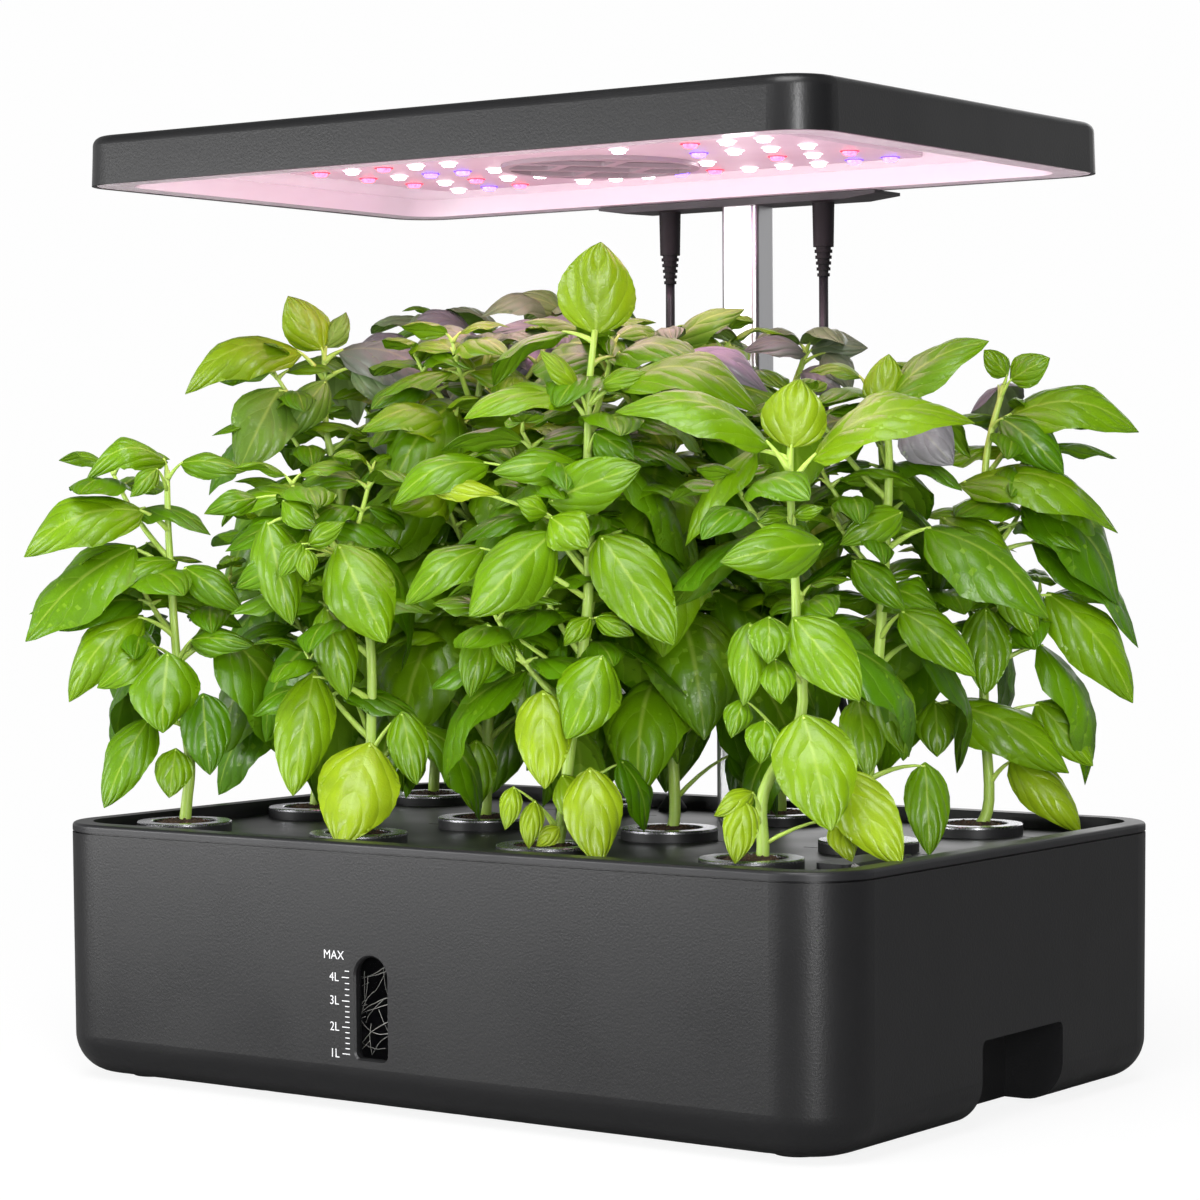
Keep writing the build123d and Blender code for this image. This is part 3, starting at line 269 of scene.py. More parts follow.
# ---------------------------------------------------------------- camera
FRAME_SIDE = 1200  # of the square frame, in pixels
CAMERA_PLACE = Vector((0.79186, -1.10137, 0.22278))
CAMERA_YAW = 0.6242
CAMERA_PITCH = 0.0266
CAMERA_ROLL = -0.0053
CAMERA_LENS = 104.09
SENSOR_WIDTH = 36.0
camera_turn = (
    Matrix.Rotation(CAMERA_YAW, 3, "Z")
    @ Matrix.Rotation(np.pi / 2 - CAMERA_PITCH, 3, "X")
    @ Matrix.Rotation(CAMERA_ROLL, 3, "Z")
)
TOWARD = Vector((np.sin(CAMERA_YAW), -np.cos(CAMERA_YAW), 0.0))  # level, from the garden to the viewer
PIXELS_PER_RADIAN = CAMERA_LENS / SENSOR_WIDTH * FRAME_SIDE


def spot(across, down, foot, nearer):
    """The point seen at a pixel, on the upright plane that faces the viewer this much nearer than foot."""
    right, up = across - FRAME_SIDE / 2, FRAME_SIDE / 2 - down
    ray = camera_turn @ Vector((right / PIXELS_PER_RADIAN, up / PIXELS_PER_RADIAN, -1.0))
    reach = (Vector(foot) + TOWARD * nearer - CAMERA_PLACE).dot(TOWARD) / ray.dot(TOWARD)
    return CAMERA_PLACE + ray * reach


# ---------------------------------------------------------------- leads
LEAD_DIAMETER = 0.00386
PUMP_LEAD_UPPER = (
    (-0.039, 0.104, 0.3167),
    (-0.039, 0.104, 0.282),
    (-0.0404, 0.1048, 0.236),
    (-0.0406, 0.1046, 0.186),
    (-0.039, 0.104, 0.138),
    (-0.039, 0.104, 0.101),
)
PUMP_LEAD_LOWER = (
    (-0.029, 0.094, 0.042),
    (-0.029, 0.094, 0.054),
    (-0.0345, 0.100, 0.068),
    (-0.039, 0.104, 0.0795),
    (-0.039, 0.104, 0.091),
)
POWER_LEAD_UPPER = (
    (0.037, 0.104, 0.3167),
    (0.037, 0.104, 0.180),
    (0.0376, 0.109, 0.157),
    (0.0367, 0.119, 0.139),
    (0.037, 0.129, 0.121),
    (0.037, 0.129, 0.1055),
)
POWER_LEAD_LOWER = (
    (0.037, 0.129, 0.09745),
    (0.037, 0.129, 0.080),
    (0.0405, 0.1305, 0.060),
    (0.0475, 0.134, 0.039),
    (0.0575, 0.1395, 0.0205),
    (0.066, 0.147, 0.0065),
)
COIL_MIDDLE = (0.042, 0.160)
COIL_RADII = (0.02735, 0.02345, 0.01955, 0.01565)  # outermost turn first
COIL_LAYERS = (0.00193, 0.00583)
COIL_TURNS = 7.25
COIL_CLIMB = (3.75, 4.0)  # turns between which the lead climbs to the upper layer
COIL_STEPS_PER_TURN = 24
ADAPTER_MOUTH_X = 0.0315


def coil_place(turns):
    """A point this many turns after the coil's start at the east: inwards below, then outwards above."""
    # (turn at which a move starts, turn at which it ends, radius before it, radius after it)
    moves = [(turn + 0.5, turn + 1.0, COIL_RADII[turn], COIL_RADII[turn + 1]) for turn in range(3)]
    moves += [(turn + 0.5, turn + 1.0, COIL_RADII[7 - turn], COIL_RADII[6 - turn]) for turn in (4, 5)]
    moves.append((7.0, COIL_TURNS, COIL_RADII[1], COIL_RADII[0]))
    radius = COIL_RADII[0]
    for start, end, before, after in moves:
        if turns > start:
            radius = before + (after - before) * min(1.0, (turns - start) / (end - start))
    rise = min(1.0, max(0.0, (turns - COIL_CLIMB[0]) / (COIL_CLIMB[1] - COIL_CLIMB[0])))
    angle = 2 * np.pi * turns
    return (
        COIL_MIDDLE[0] + radius * np.cos(angle),
        COIL_MIDDLE[1] + radius * np.sin(angle),
        COIL_LAYERS[0] + (COIL_LAYERS[1] - COIL_LAYERS[0]) * rise,
    )


def spline_points(route):
    """The points of a smooth line whose control points are the route's."""
    curve = bpy.data.curves.new("route", "CURVE")
    curve.dimensions = "3D"
    spline = curve.splines.new("NURBS")
    spline.points.add(len(route) - 1)
    for point, place in zip(spline.points, route):
        point.co = (*place, 1.0)
    spline.order_u = 3
    spline.use_endpoint_u = True
    spline.resolution_u = 8
    mesh = curve_mesh(curve)
    points = np.array([vertex.co[:] for vertex in mesh.vertices])
    bpy.data.meshes.remove(mesh)
    return points


def tube(points, radii, sides):
    """Points and faces of a closed round tube along points, carried on without twist."""
    points = np.asarray(points, float)
    radii = np.broadcast_to(radii, len(points))
    along = np.gradient(points, axis=0)
    along /= np.linalg.norm(along, axis=1)[:, None]
    side = np.cross(along[0], (0.31, 0.17, 0.93) if abs(along[0][2]) < 0.9 else (0.94, 0.31, 0.11))
    angles = np.linspace(0, 2 * np.pi, sides, endpoint=False)
    rings = []
    for point, direction, radius in zip(points, along, radii):
        side = side - direction * side.dot(direction)
        side /= np.linalg.norm(side)
        other = np.cross(direction, side)
        rings.append(point + radius * (np.cos(angles)[:, None] * side + np.sin(angles)[:, None] * other))
    vertices = np.concatenate(rings)
    ring = np.arange(sides)
    after = (ring + 1) % sides
    faces = [
        face
        for step in range(len(points) - 1)
        for face in np.stack([ring, after, after + sides, ring + sides], axis=1) + step * sides
    ]
    last = (len(points) - 1) * sides
    faces = [tuple(int(corner) for corner in face) for face in faces]
    faces += [(0, corner + 1, corner) for corner in range(1, sides - 1)]
    faces += [(last, last + corner, last + corner + 1) for corner in range(1, sides - 1)]
    return vertices, faces


class GardenLeadSettings(bpy.types.PropertyGroup):
    """Sizes and colour of the leads."""

    diameter: FloatProperty(
        name="Diameter", description="Outside diameter of a lead", default=LEAD_DIAMETER, unit="LENGTH"
    )
    sides: IntProperty(name="Sides", description="Flat sides round a lead", default=16, min=8, max=48)
    colour: StringProperty(name="Colour", description="Colour of the sheath, as sRGB hex", default="#262628")


class GARDEN_OT_leads(bpy.types.Operator):
    """Make the pump lead and the power lead with its coil"""

    bl_idname = "garden.leads"
    bl_label = "Leads"

    def execute(self, context):
        settings = context.scene.garden_leads
        # Extruded PVC sheath: satin black with faint lines along the lead
        sheath = moulded("extruded_pvc_sheath", linear(settings.colour), 0.42, 0.6, 0.01, patch_mm=8.0)
        steps = int(COIL_TURNS * COIL_STEPS_PER_TURN)
        coil = [coil_place(step / COIL_STEPS_PER_TURN) for step in range(steps + 1)]
        leaving = (COIL_MIDDLE[1] + COIL_RADII[0], COIL_LAYERS[1])
        tail = [(COIL_MIDDLE[0] - 0.005, *leaving), (ADAPTER_MOUTH_X, *leaving)]
        power_route = (*POWER_LEAD_LOWER, *coil, *tail)
        # (route, real length in metres, what ends it, how it lies, nodes on it)
        leads = {
            "pump_lead_upper": (PUMP_LEAD_UPPER, 0.216, "object", "hanging", []),
            "pump_lead_lower": (PUMP_LEAD_LOWER, 0.052, "object", "hanging", []),
            "power_lead_upper": (POWER_LEAD_UPPER, 0.221, "object", "hanging", []),
            "power_lead_lower": (power_route, 1.05, "plug", "coiled", ["power_adapter"]),
        }
        for node, (route, length, far_end, lay, on_it) in leads.items():
            path = spline_points(route)
            piece = mesh_piece(node + "_sheath", *tube(path, settings.diameter / 2, settings.sides), [sheath])
            if node == "pump_lead_lower":
                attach(piece, "deck")
                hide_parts(node)
            elif node == "power_lead_lower":
                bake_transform(piece)
                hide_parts(node, "power_lead_coil")
            else:
                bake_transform(piece)
                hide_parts(node)
        return {"FINISHED"}


# ---------------------------------------------------------------- finishes of the CAD nodes
MOULDED_FITTINGS = (
    "net_baskets_front", "net_baskets_middle", "net_baskets_back",
    "pole_collar", "pole_trim", "pole_socket", "pole_slider", "lamp_bracket", "cable_clip",
    "fan_frame", "fan_rotor", "pump_body", "pump_cover", "pump_impeller", "pump_riser",
)


class GardenBodySettings(bpy.types.PropertyGroup):
    """Colours of the moulded body and the metal."""

    shell: StringProperty(name="Shell", description="Colour of tank and lamp, as sRGB hex", default="#171718")
    deck: StringProperty(name="Deck", description="Colour of the deck, as sRGB hex", default="#1B1B1D")
    fittings: StringProperty(
        name="Fittings", description="Colour of the small mouldings, as sRGB hex", default="#1F1F21"
    )
    metal: StringProperty(name="Metal", description="Colour of the post, as sRGB hex", default="#D2D2D4")
    roughness: FloatProperty(
        name="Roughness", description="Roughness of the body", default=0.36, min=0, max=1, subtype="FACTOR"
    )


class GARDEN_OT_finishes(bpy.types.Operator):
    """Give the tank, deck, pods, post, lamp and small fittings their finishes"""

    bl_idname = "garden.finishes"
    bl_label = "Finishes"

    def execute(self, context):
        """Makes each finish and paints the CAD nodes that have it."""
        settings = context.scene.garden_body
        # Moulded ABS with an etched satin texture: soft wide highlights and a barely visible grain
        shell_colour = linear(settings.shell)
        shell = moulded("satin_textured_abs", shell_colour, settings.roughness, 0.9, 0.05, specular=0.36)
        paint(["tank", "lamp_housing"], shell)
        # The same ABS in the pan: seen at a low angle, so its gloss is held down
        deck = moulded("satin_textured_abs_deck", linear(settings.deck), 0.4, 0.9, 0.03, specular=0.4)
        paint(["deck", "fill_lid"], deck)
        # Moulded polypropylene: near black and slightly waxy
        black = linear(settings.fittings)
        fittings = moulded("moulded_polypropylene", black, 0.48, 0.7, 0.015, patch_mm=20.0)
        paint(MOULDED_FITTINGS, fittings)
        # Moulded rubber: matt, with a powdery grain
        rubber = moulded("moulded_rubber", linear("#131314"), 0.68, 0.5, 0.02, patch_mm=12.0, specular=0.3)
        paint(["feet", "window_gasket", "lead_grommet", "plug_pump", "plug_power"], rubber)
        # Spark-textured polycarbonate: black with a low shine
        case = moulded("textured_polycarbonate", linear("#1E1E20"), 0.4, 0.8, 0.03, patch_mm=25.0)
        paint(["power_adapter"], case)
        # Button ABS: a shade lighter than the shell, with a smoother top
        button = moulded("smooth_abs_button", linear("#4A4A4D"), 0.35, 0.8, 0.008)
        paint(["button_left", "button_middle", "button_right"], button)
        # Extruded aluminium, anodised clear: bright, with fine lines along the post
        post = anodised("clear_anodised_aluminium", linear(settings.metal), 0.3)
        paint(["pole_outer", "pole_inner"], post)
        # Turned aluminium, anodised satin: soft grey-white rings
        grit = (0.6, 0.6, 0.6)
        ring = anodised("satin_anodised_rings", linear("#C2C2C6"), 0.26, streak_mm=grit, depth_mm=0.002)
        paint(["pod_trim_rings"], ring)
        # Nickel-plated steel: a brighter, harder shine on the pin and the screws
        grit = (0.8, 0.8, 0.8)
        steel = anodised("nickel_plated_steel", linear("#C8C6C2"), 0.2, streak_mm=grit, depth_mm=0.003)
        paint(["fill_lid_pin", "bracket_screws"], steel)
        # Glossy white ABS of the reflector: a clear reflection over a white body
        tray = moulded("glossy_white_abs", linear("#E9E4E8"), 0.2, 1.4, 0.006, patch_mm=60.0, coat=0.3)
        paint(["lamp_reflector"], tray)
        # White solder resist over aluminium: smooth, with a slight orange peel; its pink tint is painted pink
        # light of the diodes
        board = moulded("white_solder_resist_with_painted_pink_light", linear("#C9BAC3"), 0.5, 1.8, 0.01, patch_mm=30.0)
        paint(["led_board"], board)
        # Satin white ABS of the fan's grille; its darker pinkish grey is painted shade and painted pink light
        # of the diodes
        grille = moulded("satin_white_abs_painted_shade_and_pink_light", linear("#9C8F95"), 0.45, 1.0, 0.01)
        paint(["fan_grille"], grille)
        # Green solder resist on glass-epoxy, under the buttons
        circuit = moulded("green_solder_resist", linear("#1C4A2C"), 0.3, 1.2, 0.02, patch_mm=6.0)
        paint(["control_board"], circuit)
        # Clear silicone domes over lit dies: each in its colour, far brighter than the tray round it
        domes = (
            ("leds_white", "lit_phosphor_dome", "#FFE9F2", "#FFFFFF", 8.0),
            ("leds_red", "lit_red_dome", "#FF1830", "#FF4860", 11.0),
            ("leds_violet", "lit_violet_dome", "#3A24FF", "#6450FF", 12.0),
        )
        for node, name, colour, core, strength in domes:
            paint([node], lit_silicone(name, linear(colour), linear(core), strength))
        return {"FINISHED"}


# ---------------------------------------------------------------- diode packages
DIODE_ROWS = ("WVR.WWWVRWWWVV", "RWRWW....W.RWR", "RWVVW.....VWWW", "RWRWW....W.RWW")
DIODE_PITCH = 0.016
DIODE_ROW_Y = (0.03535, 0.00605, -0.02325, -0.05255)
DIODE_MIDDLE_X = 0.006
PACKAGE_HEIGHT = 0.0003
PACKAGE_SIDES = 16


class GardenDiodeSettings(bpy.types.PropertyGroup):
    """The packages under the diodes' domes, whose glow is a painted glow halo round each dome."""

    radius: FloatProperty(name="Radius", description="Radius of a package", default=0.0037, unit="LENGTH")
    strength: FloatProperty(name="Strength", description="How strongly a package glows", default=0.85, min=0)
    white: StringProperty(name="White", description="Glow of a white diode, as sRGB hex", default="#FFF4F6")
    red: StringProperty(name="Red", description="Glow of a red diode, as sRGB hex", default="#FF3A50")
    violet: StringProperty(
        name="Violet", description="Glow of a violet diode, as sRGB hex", default="#7A50F0"
    )


class GARDEN_OT_diodes(bpy.types.Operator):
    """Set the diodes' packages on the board"""

    bl_idname = "garden.diodes"
    bl_label = "Diode packages"

    def execute(self, context):
        """Sets a low round package at each diode with one tree, once for each colour."""
        settings = context.scene.garden_diodes
        sizes = [
            ("Radius", "NodeSocketFloat", settings.radius),
            ("Height", "NodeSocketFloat", PACKAGE_HEIGHT),
        ]
        kinds = {"W": ("white", settings.white), "R": ("red", settings.red), "V": ("violet", settings.violet)}
        first_x = DIODE_MIDDLE_X - DIODE_PITCH * (len(DIODE_ROWS[0]) - 1) / 2
        for letter, (word, code) in kinds.items():
            # Moulded silicone package: its soft glow round the dome is a painted glow halo that stands in for
            # the diode's glare
            glow = lit_silicone(f"halo_painted_{word}_package", linear(code), linear(code), settings.strength)
            points = [
                (first_x + DIODE_PITCH * place, y, BOARD_LOW.z - PACKAGE_HEIGHT / 2)
                for row, y in zip(DIODE_ROWS, DIODE_ROW_Y)
                for place, kind in enumerate(row)
                if kind == letter
            ]
            tree, size = new_geometry_tree(f"packages_{word}", sizes)
            inputs = {"Vertices": PACKAGE_SIDES, "Radius": size["Radius"], "Depth": size["Height"]}
            disc = add_node(tree, "GeometryNodeMeshCylinder", inputs)
            inputs = {"Points": size["Geometry"], "Instance": disc}
            end_tree(tree, add_node(tree, "GeometryNodeInstanceOnPoints", inputs), glow)
            seeds = mesh_piece(f"diode_packages_{word}", points, [], [glow])
            values = {"Radius": settings.radius, "Height": PACKAGE_HEIGHT}
            packages = settled(set_tree(seeds, tree, values))
            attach(packages, "lamp")
        return {"FINISHED"}


# ---------------------------------------------------------------- level window
LONG_TICKS = (0.0503, 0.0416, 0.0319, 0.0220)  # heights of the marks from 4L down to 1L
# Between them, each run of short marks: the height of its lowest, the step up and the count
SHORT_TICKS = ((0.0527, 0.002, 1), (0.0438, 0.00217, 3), (0.0338, 0.00194, 4), (0.0240, 0.00198, 4))
LONG_TICK_WIDTH = 0.0035
SHORT_TICK_WIDTH = 0.0020
TICK_RIGHT = -0.0275
TICK_HEIGHT = 0.00032
LABELS = ("4L", "3L", "2L", "1L")
LABEL_RIGHT = -0.0325
LABEL_NARROWED = 0.98
CAPITAL_HEIGHT = 0.7  # of the font, as a share of its size
STROKE_THINNED = -0.00003
MAX_RIGHT, MAX_Z = -0.0299, 0.0584
PRINT_PROUD = 0.00006
ROOT_STEP = 0.0009  # between the points along a root
ROOT_HEADINGS = (-1.2, -0.95, -1.05, 0.1)  # radians from straight down
ROOT_RADIUS = {True: 0.00026, False: 0.00015}  # of a thick root and of a thin one, where it starts
ROOT_STEPS = {True: 20, False: 15}
ROOT_END_RADIUS = 0.00007


def front_y(z):
    """The tank's front face at a height."""
    return TANK_LOW.y + FRONT_DRAFT * (TANK_HIGH.z - z)


def tick_tree(material):
    """A column of short bars, each a flat box centred on its point."""
    sizes = [
        ("Count", "NodeSocketInt", 4),
        ("Start", "NodeSocketVector", (0, 0, 0)),
        ("Step", "NodeSocketVector", (0, 0, 0.002)),
        ("Bar", "NodeSocketVector", (0.002, 0.0001, 0.0004)),
    ]
    tree, size = new_geometry_tree("level_ticks", sizes)
    inputs = {"Count": size["Count"], "Start Location": size["Start"], "Offset": size["Step"]}
    column = add_node(tree, "GeometryNodeMeshLine", inputs)
    bar = add_node(tree, "GeometryNodeMeshCube", {"Size": size["Bar"]})
    bars = add_node(tree, "GeometryNodeInstanceOnPoints", {"Points": column, "Instance": bar})
    end_tree(tree, bars, material)
    return tree


def printed_text(words, right, middle_z, height, material):
    """Flat lettering on the front face, its right edge and middle given."""
    curve = bpy.data.curves.new("label", "FONT")
    curve.body = words
    curve.size = height / CAPITAL_HEIGHT
    curve.extrude = PRINT_PROUD
    curve.offset = STROKE_THINNED
    mesh = curve_mesh(curve)
    places = np.array([vertex.co[:] for vertex in mesh.vertices])
    low, high = places.min(axis=0), places.max(axis=0)
    upright = Matrix.Rotation(np.pi / 2, 4, "X") @ Matrix.Diagonal((LABEL_NARROWED, 1, 1, 1))
    middle = (low[1] + high[1]) / 2
    shift = Vector((right - high[0] * LABEL_NARROWED, front_y(middle_z), middle_z - middle))
    mesh.transform(Matrix.Translation(shift) @ upright)
    mesh.materials.clear()
    mesh.materials.append(material)
    mesh.polygons.foreach_set("use_smooth", [False] * len(mesh.polygons))
    piece = bpy.data.objects.new("label", mesh)
    bpy.context.scene.collection.objects.link(piece)
    return piece


class GardenWindowSettings(bpy.types.PropertyGroup):
    """The level window's print, lens and roots."""

    ink: StringProperty(name="Ink", description="Colour of the printed scale, as sRGB hex", default="#D6D6D8")
    label_height: FloatProperty(
        name="Label height", description="Height of a label", default=0.0033, unit="LENGTH"
    )
    roots: IntProperty(
        name="Roots", description="Number of roots behind the lens", default=34, min=0, max=200
    )


def smoked_acrylic():
    """Smoked acrylic: dark and glossy, and thin enough to see the roots through it."""
    material, tree, place = new_material("smoked_acrylic")
    haze = add_node(tree, "ShaderNodeTexNoise", {"Vector": place, "Scale": 1000 / 9.0, "Detail": 2.0})
    gloss = add_node(tree, "ShaderNodeMapRange", {"Value": haze, 3: 0.05, 4: 0.14})
    surface = add_node(
        tree,
        "ShaderNodeBsdfPrincipled",
        {"Base Color": linear("#08080A"), "Roughness": gloss, "Specular IOR Level": 0.2, "Alpha": 0.16},
    )
    add_node(tree, "ShaderNodeOutputMaterial", {"Surface": surface})
    return material


def printed_scale(settings):
    """The marks and labels beside the window, as one object."""
    # Screen-printed ink: flat, matt and slightly uneven
    ink = moulded("screen_printed_ink", linear(settings.ink), 0.6, 0.5, 0.004, patch_mm=3.0)
    tree = tick_tree(ink)
    marks = []
    columns = [(z, 0.0, 1, LONG_TICK_WIDTH) for z in LONG_TICKS]
    columns += [(*column, SHORT_TICK_WIDTH) for column in SHORT_TICKS]
    for z, step, count, width in columns:
        mark = mesh_piece("ticks", [], [], [ink])
        values = {
            "Count": count,
            "Start": (TICK_RIGHT - width / 2, front_y(z), z),
            "Step": (0.0, -FRONT_DRAFT * step, step),
            "Bar": (width, 2 * PRINT_PROUD, TICK_HEIGHT),
        }
        marks.append(settled(set_tree(mark, tree, values)))
    for words, z in zip(LABELS, LONG_TICKS):
        marks.append(printed_text(words, LABEL_RIGHT, z, settings.label_height, ink))
    marks.append(printed_text("MAX", MAX_RIGHT, MAX_Z, settings.label_height, ink))
    return join("level_scale", marks)


def window_roots(count):
    """The roots that hang behind the lens: thick ones from the right, thin ones between, as one object."""
    # Wet root: pale, silky and slightly see-through
    root = moulded("wet_root", linear("#9FA09A"), 0.4, 1.5, 0.02, patch_mm=4.0, unevenness=0.2)
    dice = np.random.default_rng(7)
    points, faces = [], []
    left, right = LENS_LOW.x + 0.0006, LENS_HIGH.x - 0.0062
    low, high = LENS_LOW.z + 0.0035, LENS_HIGH.z - 0.005
    for number in range(count):
        thick = number % 3 == 0
        z = low + (high - low) * (number + dice.random()) / count
        x = right if thick else left + (right - left) * dice.random()
        y = LENS_HIGH.y + 0.0004 + 0.0012 * dice.random()
        heading = dice.choice(ROOT_HEADINGS) + dice.normal(0, 0.2)
        bend = dice.normal(0, 0.05)
        path = []
        for _ in range(ROOT_STEPS[thick]):
            if not (left <= x <= right and low <= z <= high):
                break
            path.append((x, y, z))
            heading += bend + dice.normal(0, 0.07)
            x += ROOT_STEP * np.sin(heading)
            z -= ROOT_STEP * np.cos(heading)
        if len(path) > 3:
            radii = np.linspace(ROOT_RADIUS[thick], ROOT_END_RADIUS, len(path))
            vertices, quads = tube(path, radii, 6)
            faces += [tuple(corner + len(points) for corner in quad) for quad in quads]
            points += [tuple(vertex) for vertex in vertices]
    return mesh_piece("window_roots", points, faces, [root])


class GARDEN_OT_level_window(bpy.types.Operator):
    """Make the level window's lens finish, printed scale and the roots behind it"""

    bl_idname = "garden.level_window"
    bl_label = "Level window"

    def execute(self, context):
        """Prints the scale, clears the lens and grows the roots."""
        settings = context.scene.garden_window
        scale = printed_scale(settings)
        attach(scale, "tank")
        paint(["window_lens"], smoked_acrylic())
        roots = window_roots(settings.roots)
        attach(roots, "tank")
        return {"FINISHED"}


# ---------------------------------------------------------------- peat
HEAP_RADIUS = 0.0116
HEAP_PROUD = 0.0006  # over the ring
HEAP_SUNK = 0.0004  # into the plug
HEAP_SIDES = 24
HEAP_RINGS = (1.0, 0.96, 0.6, 0.3)  # radius of each ring of points, as a share of the heap's
CRUMB_SEED = 3


class GardenPeatSettings(bpy.types.PropertyGroup):
    """The heaps and crumbs on the growing plugs."""

    density: FloatProperty(name="Density", description="Crumbs on a square metre", default=260000.0)
    crumb: FloatProperty(name="Crumb", description="Radius of a large crumb", default=0.00075, unit="LENGTH")
    colour: StringProperty(name="Colour", description="Colour of the peat, as sRGB hex", default="#523A28")


def pressed_peat(colour):
    """Pressed peat: dark brown fibres with lighter flecks, wholly matt."""
    material, tree, place = new_material("pressed_peat")
    fleck = add_node(tree, "ShaderNodeTexNoise", {"Vector": place, "Scale": 1000 / 1.4, "Detail": 4.0})
    lump = add_node(tree, "ShaderNodeTexVoronoi", {"Vector": place, "Scale": 1000 / 1.6})
    inputs = {0: fleck, 6: linear("#1E140C"), 7: colour}
    tone = add_node(tree, "ShaderNodeMix", inputs, data_type="RGBA").outputs[2]
    light = add_node(tree, "ShaderNodeMapRange", {"Value": fleck, 1: 0.6, 2: 0.75})
    inputs = {0: light, 6: tone, 7: linear("#8E6C48")}
    flecked = add_node(tree, "ShaderNodeMix", inputs, data_type="RGBA").outputs[2]
    relief = add_node(tree, "ShaderNodeBump", {"Height": lump, "Strength": 1.0, "Distance": 0.0006})
    inputs = {"Base Color": flecked, "Roughness": 0.95, "Normal": relief}
    surface = add_node(tree, "ShaderNodeBsdfPrincipled", inputs)
    add_node(tree, "ShaderNodeOutputMaterial", {"Surface": surface})
    return material


def crumb_tree(material):
    """Strews crumbs of many sizes, each turned its own way, over a mesh that it keeps."""
    sizes = [
        ("Density", "NodeSocketFloat", 1.0),
        ("Crumb", "NodeSocketFloat", 0.001),
        ("Seed", "NodeSocketInt", CRUMB_SEED),
    ]
    tree, size = new_geometry_tree("peat_crumbs", sizes)
    inputs = {"Mesh": size["Geometry"], "Density": size["Density"], "Seed": size["Seed"]}
    spread = add_node(tree, "GeometryNodeDistributePointsOnFaces", inputs)
    ball = add_node(tree, "GeometryNodeMeshIcoSphere", {"Radius": size["Crumb"], "Subdivisions": 1})
    inputs = {2: 0.35, 3: 1.0, "Seed": size["Seed"]}
    share = add_node(tree, "FunctionNodeRandomValue", inputs, data_type="FLOAT")
    inputs = {0: (0, 0, 0), 1: (6.28, 6.28, 6.28), "Seed": size["Seed"]}
    turn = add_node(tree, "FunctionNodeRandomValue", inputs, data_type="FLOAT_VECTOR")
    inputs = {"Points": spread, "Instance": ball, "Rotation": turn, "Scale": share.outputs[1]}
    crumbs = add_node(tree, "GeometryNodeInstanceOnPoints", inputs)
    heap = add_node(tree, "GeometryNodeJoinGeometry", {0: size["Geometry"]})
    tree.links.new(crumbs.outputs[0], heap.inputs[0])
    end_tree(tree, heap, material)
    return tree


def peat_heaps(material):
    """A low closed heap on each growing plug, as one object."""
    angles = np.linspace(0, 2 * np.pi, HEAP_SIDES, endpoint=False)
    rise = RING_TOP - PLUG_TOP + HEAP_PROUD
    points, faces = [], []
    for x in POD_X:
        for y in POD_Y:
            first = len(points)
            points += [(x, y, PLUG_TOP - HEAP_SUNK), (x, y, PLUG_TOP + rise)]
            for share in HEAP_RINGS:
                height = PLUG_TOP + rise * (1 - share**4) - (HEAP_SUNK if share == 1.0 else 0.0)
                reach = HEAP_RADIUS * share
                points += [(x + reach * np.cos(a), y + reach * np.sin(a), height) for a in angles]
            rows = [first + 2 + ring * HEAP_SIDES for ring in range(len(HEAP_RINGS))]
            for corner in range(HEAP_SIDES):
                beside = (corner + 1) % HEAP_SIDES
                faces.append((first, rows[0] + beside, rows[0] + corner))
                for low, high in zip(rows, rows[1:]):
                    faces.append((low + corner, low + beside, high + beside, high + corner))
                faces.append((rows[-1] + corner, rows[-1] + beside, first + 1))
    return mesh_piece("peat_crumbs", points, faces, [material])


class GARDEN_OT_peat(bpy.types.Operator):
    """Heap peat on the growing plugs and strew crumbs over it"""

    bl_idname = "garden.peat"
    bl_label = "Peat"

    def execute(self, context):
        """Makes the heaps, and strews the crumbs over them with a seeded tree."""
        settings = context.scene.garden_peat
        peat = pressed_peat(linear(settings.colour))
        paint(["growing_plugs"], peat)
        values = {"Density": settings.density, "Crumb": settings.crumb, "Seed": CRUMB_SEED}
        crumbs = settled(set_tree(peat_heaps(peat), crumb_tree(peat), values))
        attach(crumbs, "deck")
        return {"FINISHED"}


# ---------------------------------------------------------------- basil
# A listed leaf: where its base and tip show in the camera's frame and the width it shows there, in
# pixels; how much nearer than its stem's plane the base and the tip lie, in millimetres; how high it arches,
# as a share of its length; its tone from 0 to 1, which holds both how young it is and painted shade; and
# how strong its painted purple-grey tint of the grow lamp's light is, from 0 to 1.
Leaf = namedtuple("Leaf", "base_u base_v tip_u tip_v width base_near tip_near arch young purple")

# Where the stem of each plant (column, row) shows in the camera's frame, in pixels, from its foot up
STEMS = {
    (1, 1): ((184, 826), (187, 800), (190, 761), (181, 700), (175, 637), (170, 560), (168, 522), (167, 470)),
    (1, 2): ((314, 811), (322, 740), (334, 640), (340, 508), (333, 460), (326, 426), (324, 346)),
    (1, 3): ((433, 797), (436, 700), (420, 560), (428, 430), (436, 335)),
    (2, 1): ((358, 837), (368, 790), (371, 740), (370, 640), (352, 580), (330, 540), (306, 500)),
    (2, 2): ((485, 821), (488, 720), (484, 620), (474, 500), (478, 400), (487, 355)),
    (2, 3): ((600, 807), (602, 700), (594, 560), (566, 420), (556, 340), (560, 322)),
    (3, 1): ((555, 850), (562, 820), (571, 740), (588, 600), (587, 500), (588, 433), (589, 388), (595, 330)),
    (3, 2): ((669, 833), (675, 800), (666, 648), (668, 520), (662, 420), (666, 350)),
    (3, 3): ((781, 817), (778, 700), (772, 560), (786, 420), (806, 352)),
    (4, 1): ((762, 862), (763, 845), (764, 791), (801, 716), (797, 640), (795, 575), (790, 485), (791, 430)),
    (4, 2): ((869, 845), (868, 780), (880, 640), (888, 500), (888, 440), (881, 410)),
    (4, 3): ((975, 828), (989, 800), (984, 700), (985, 560), (986, 460), (1004, 385)),
}

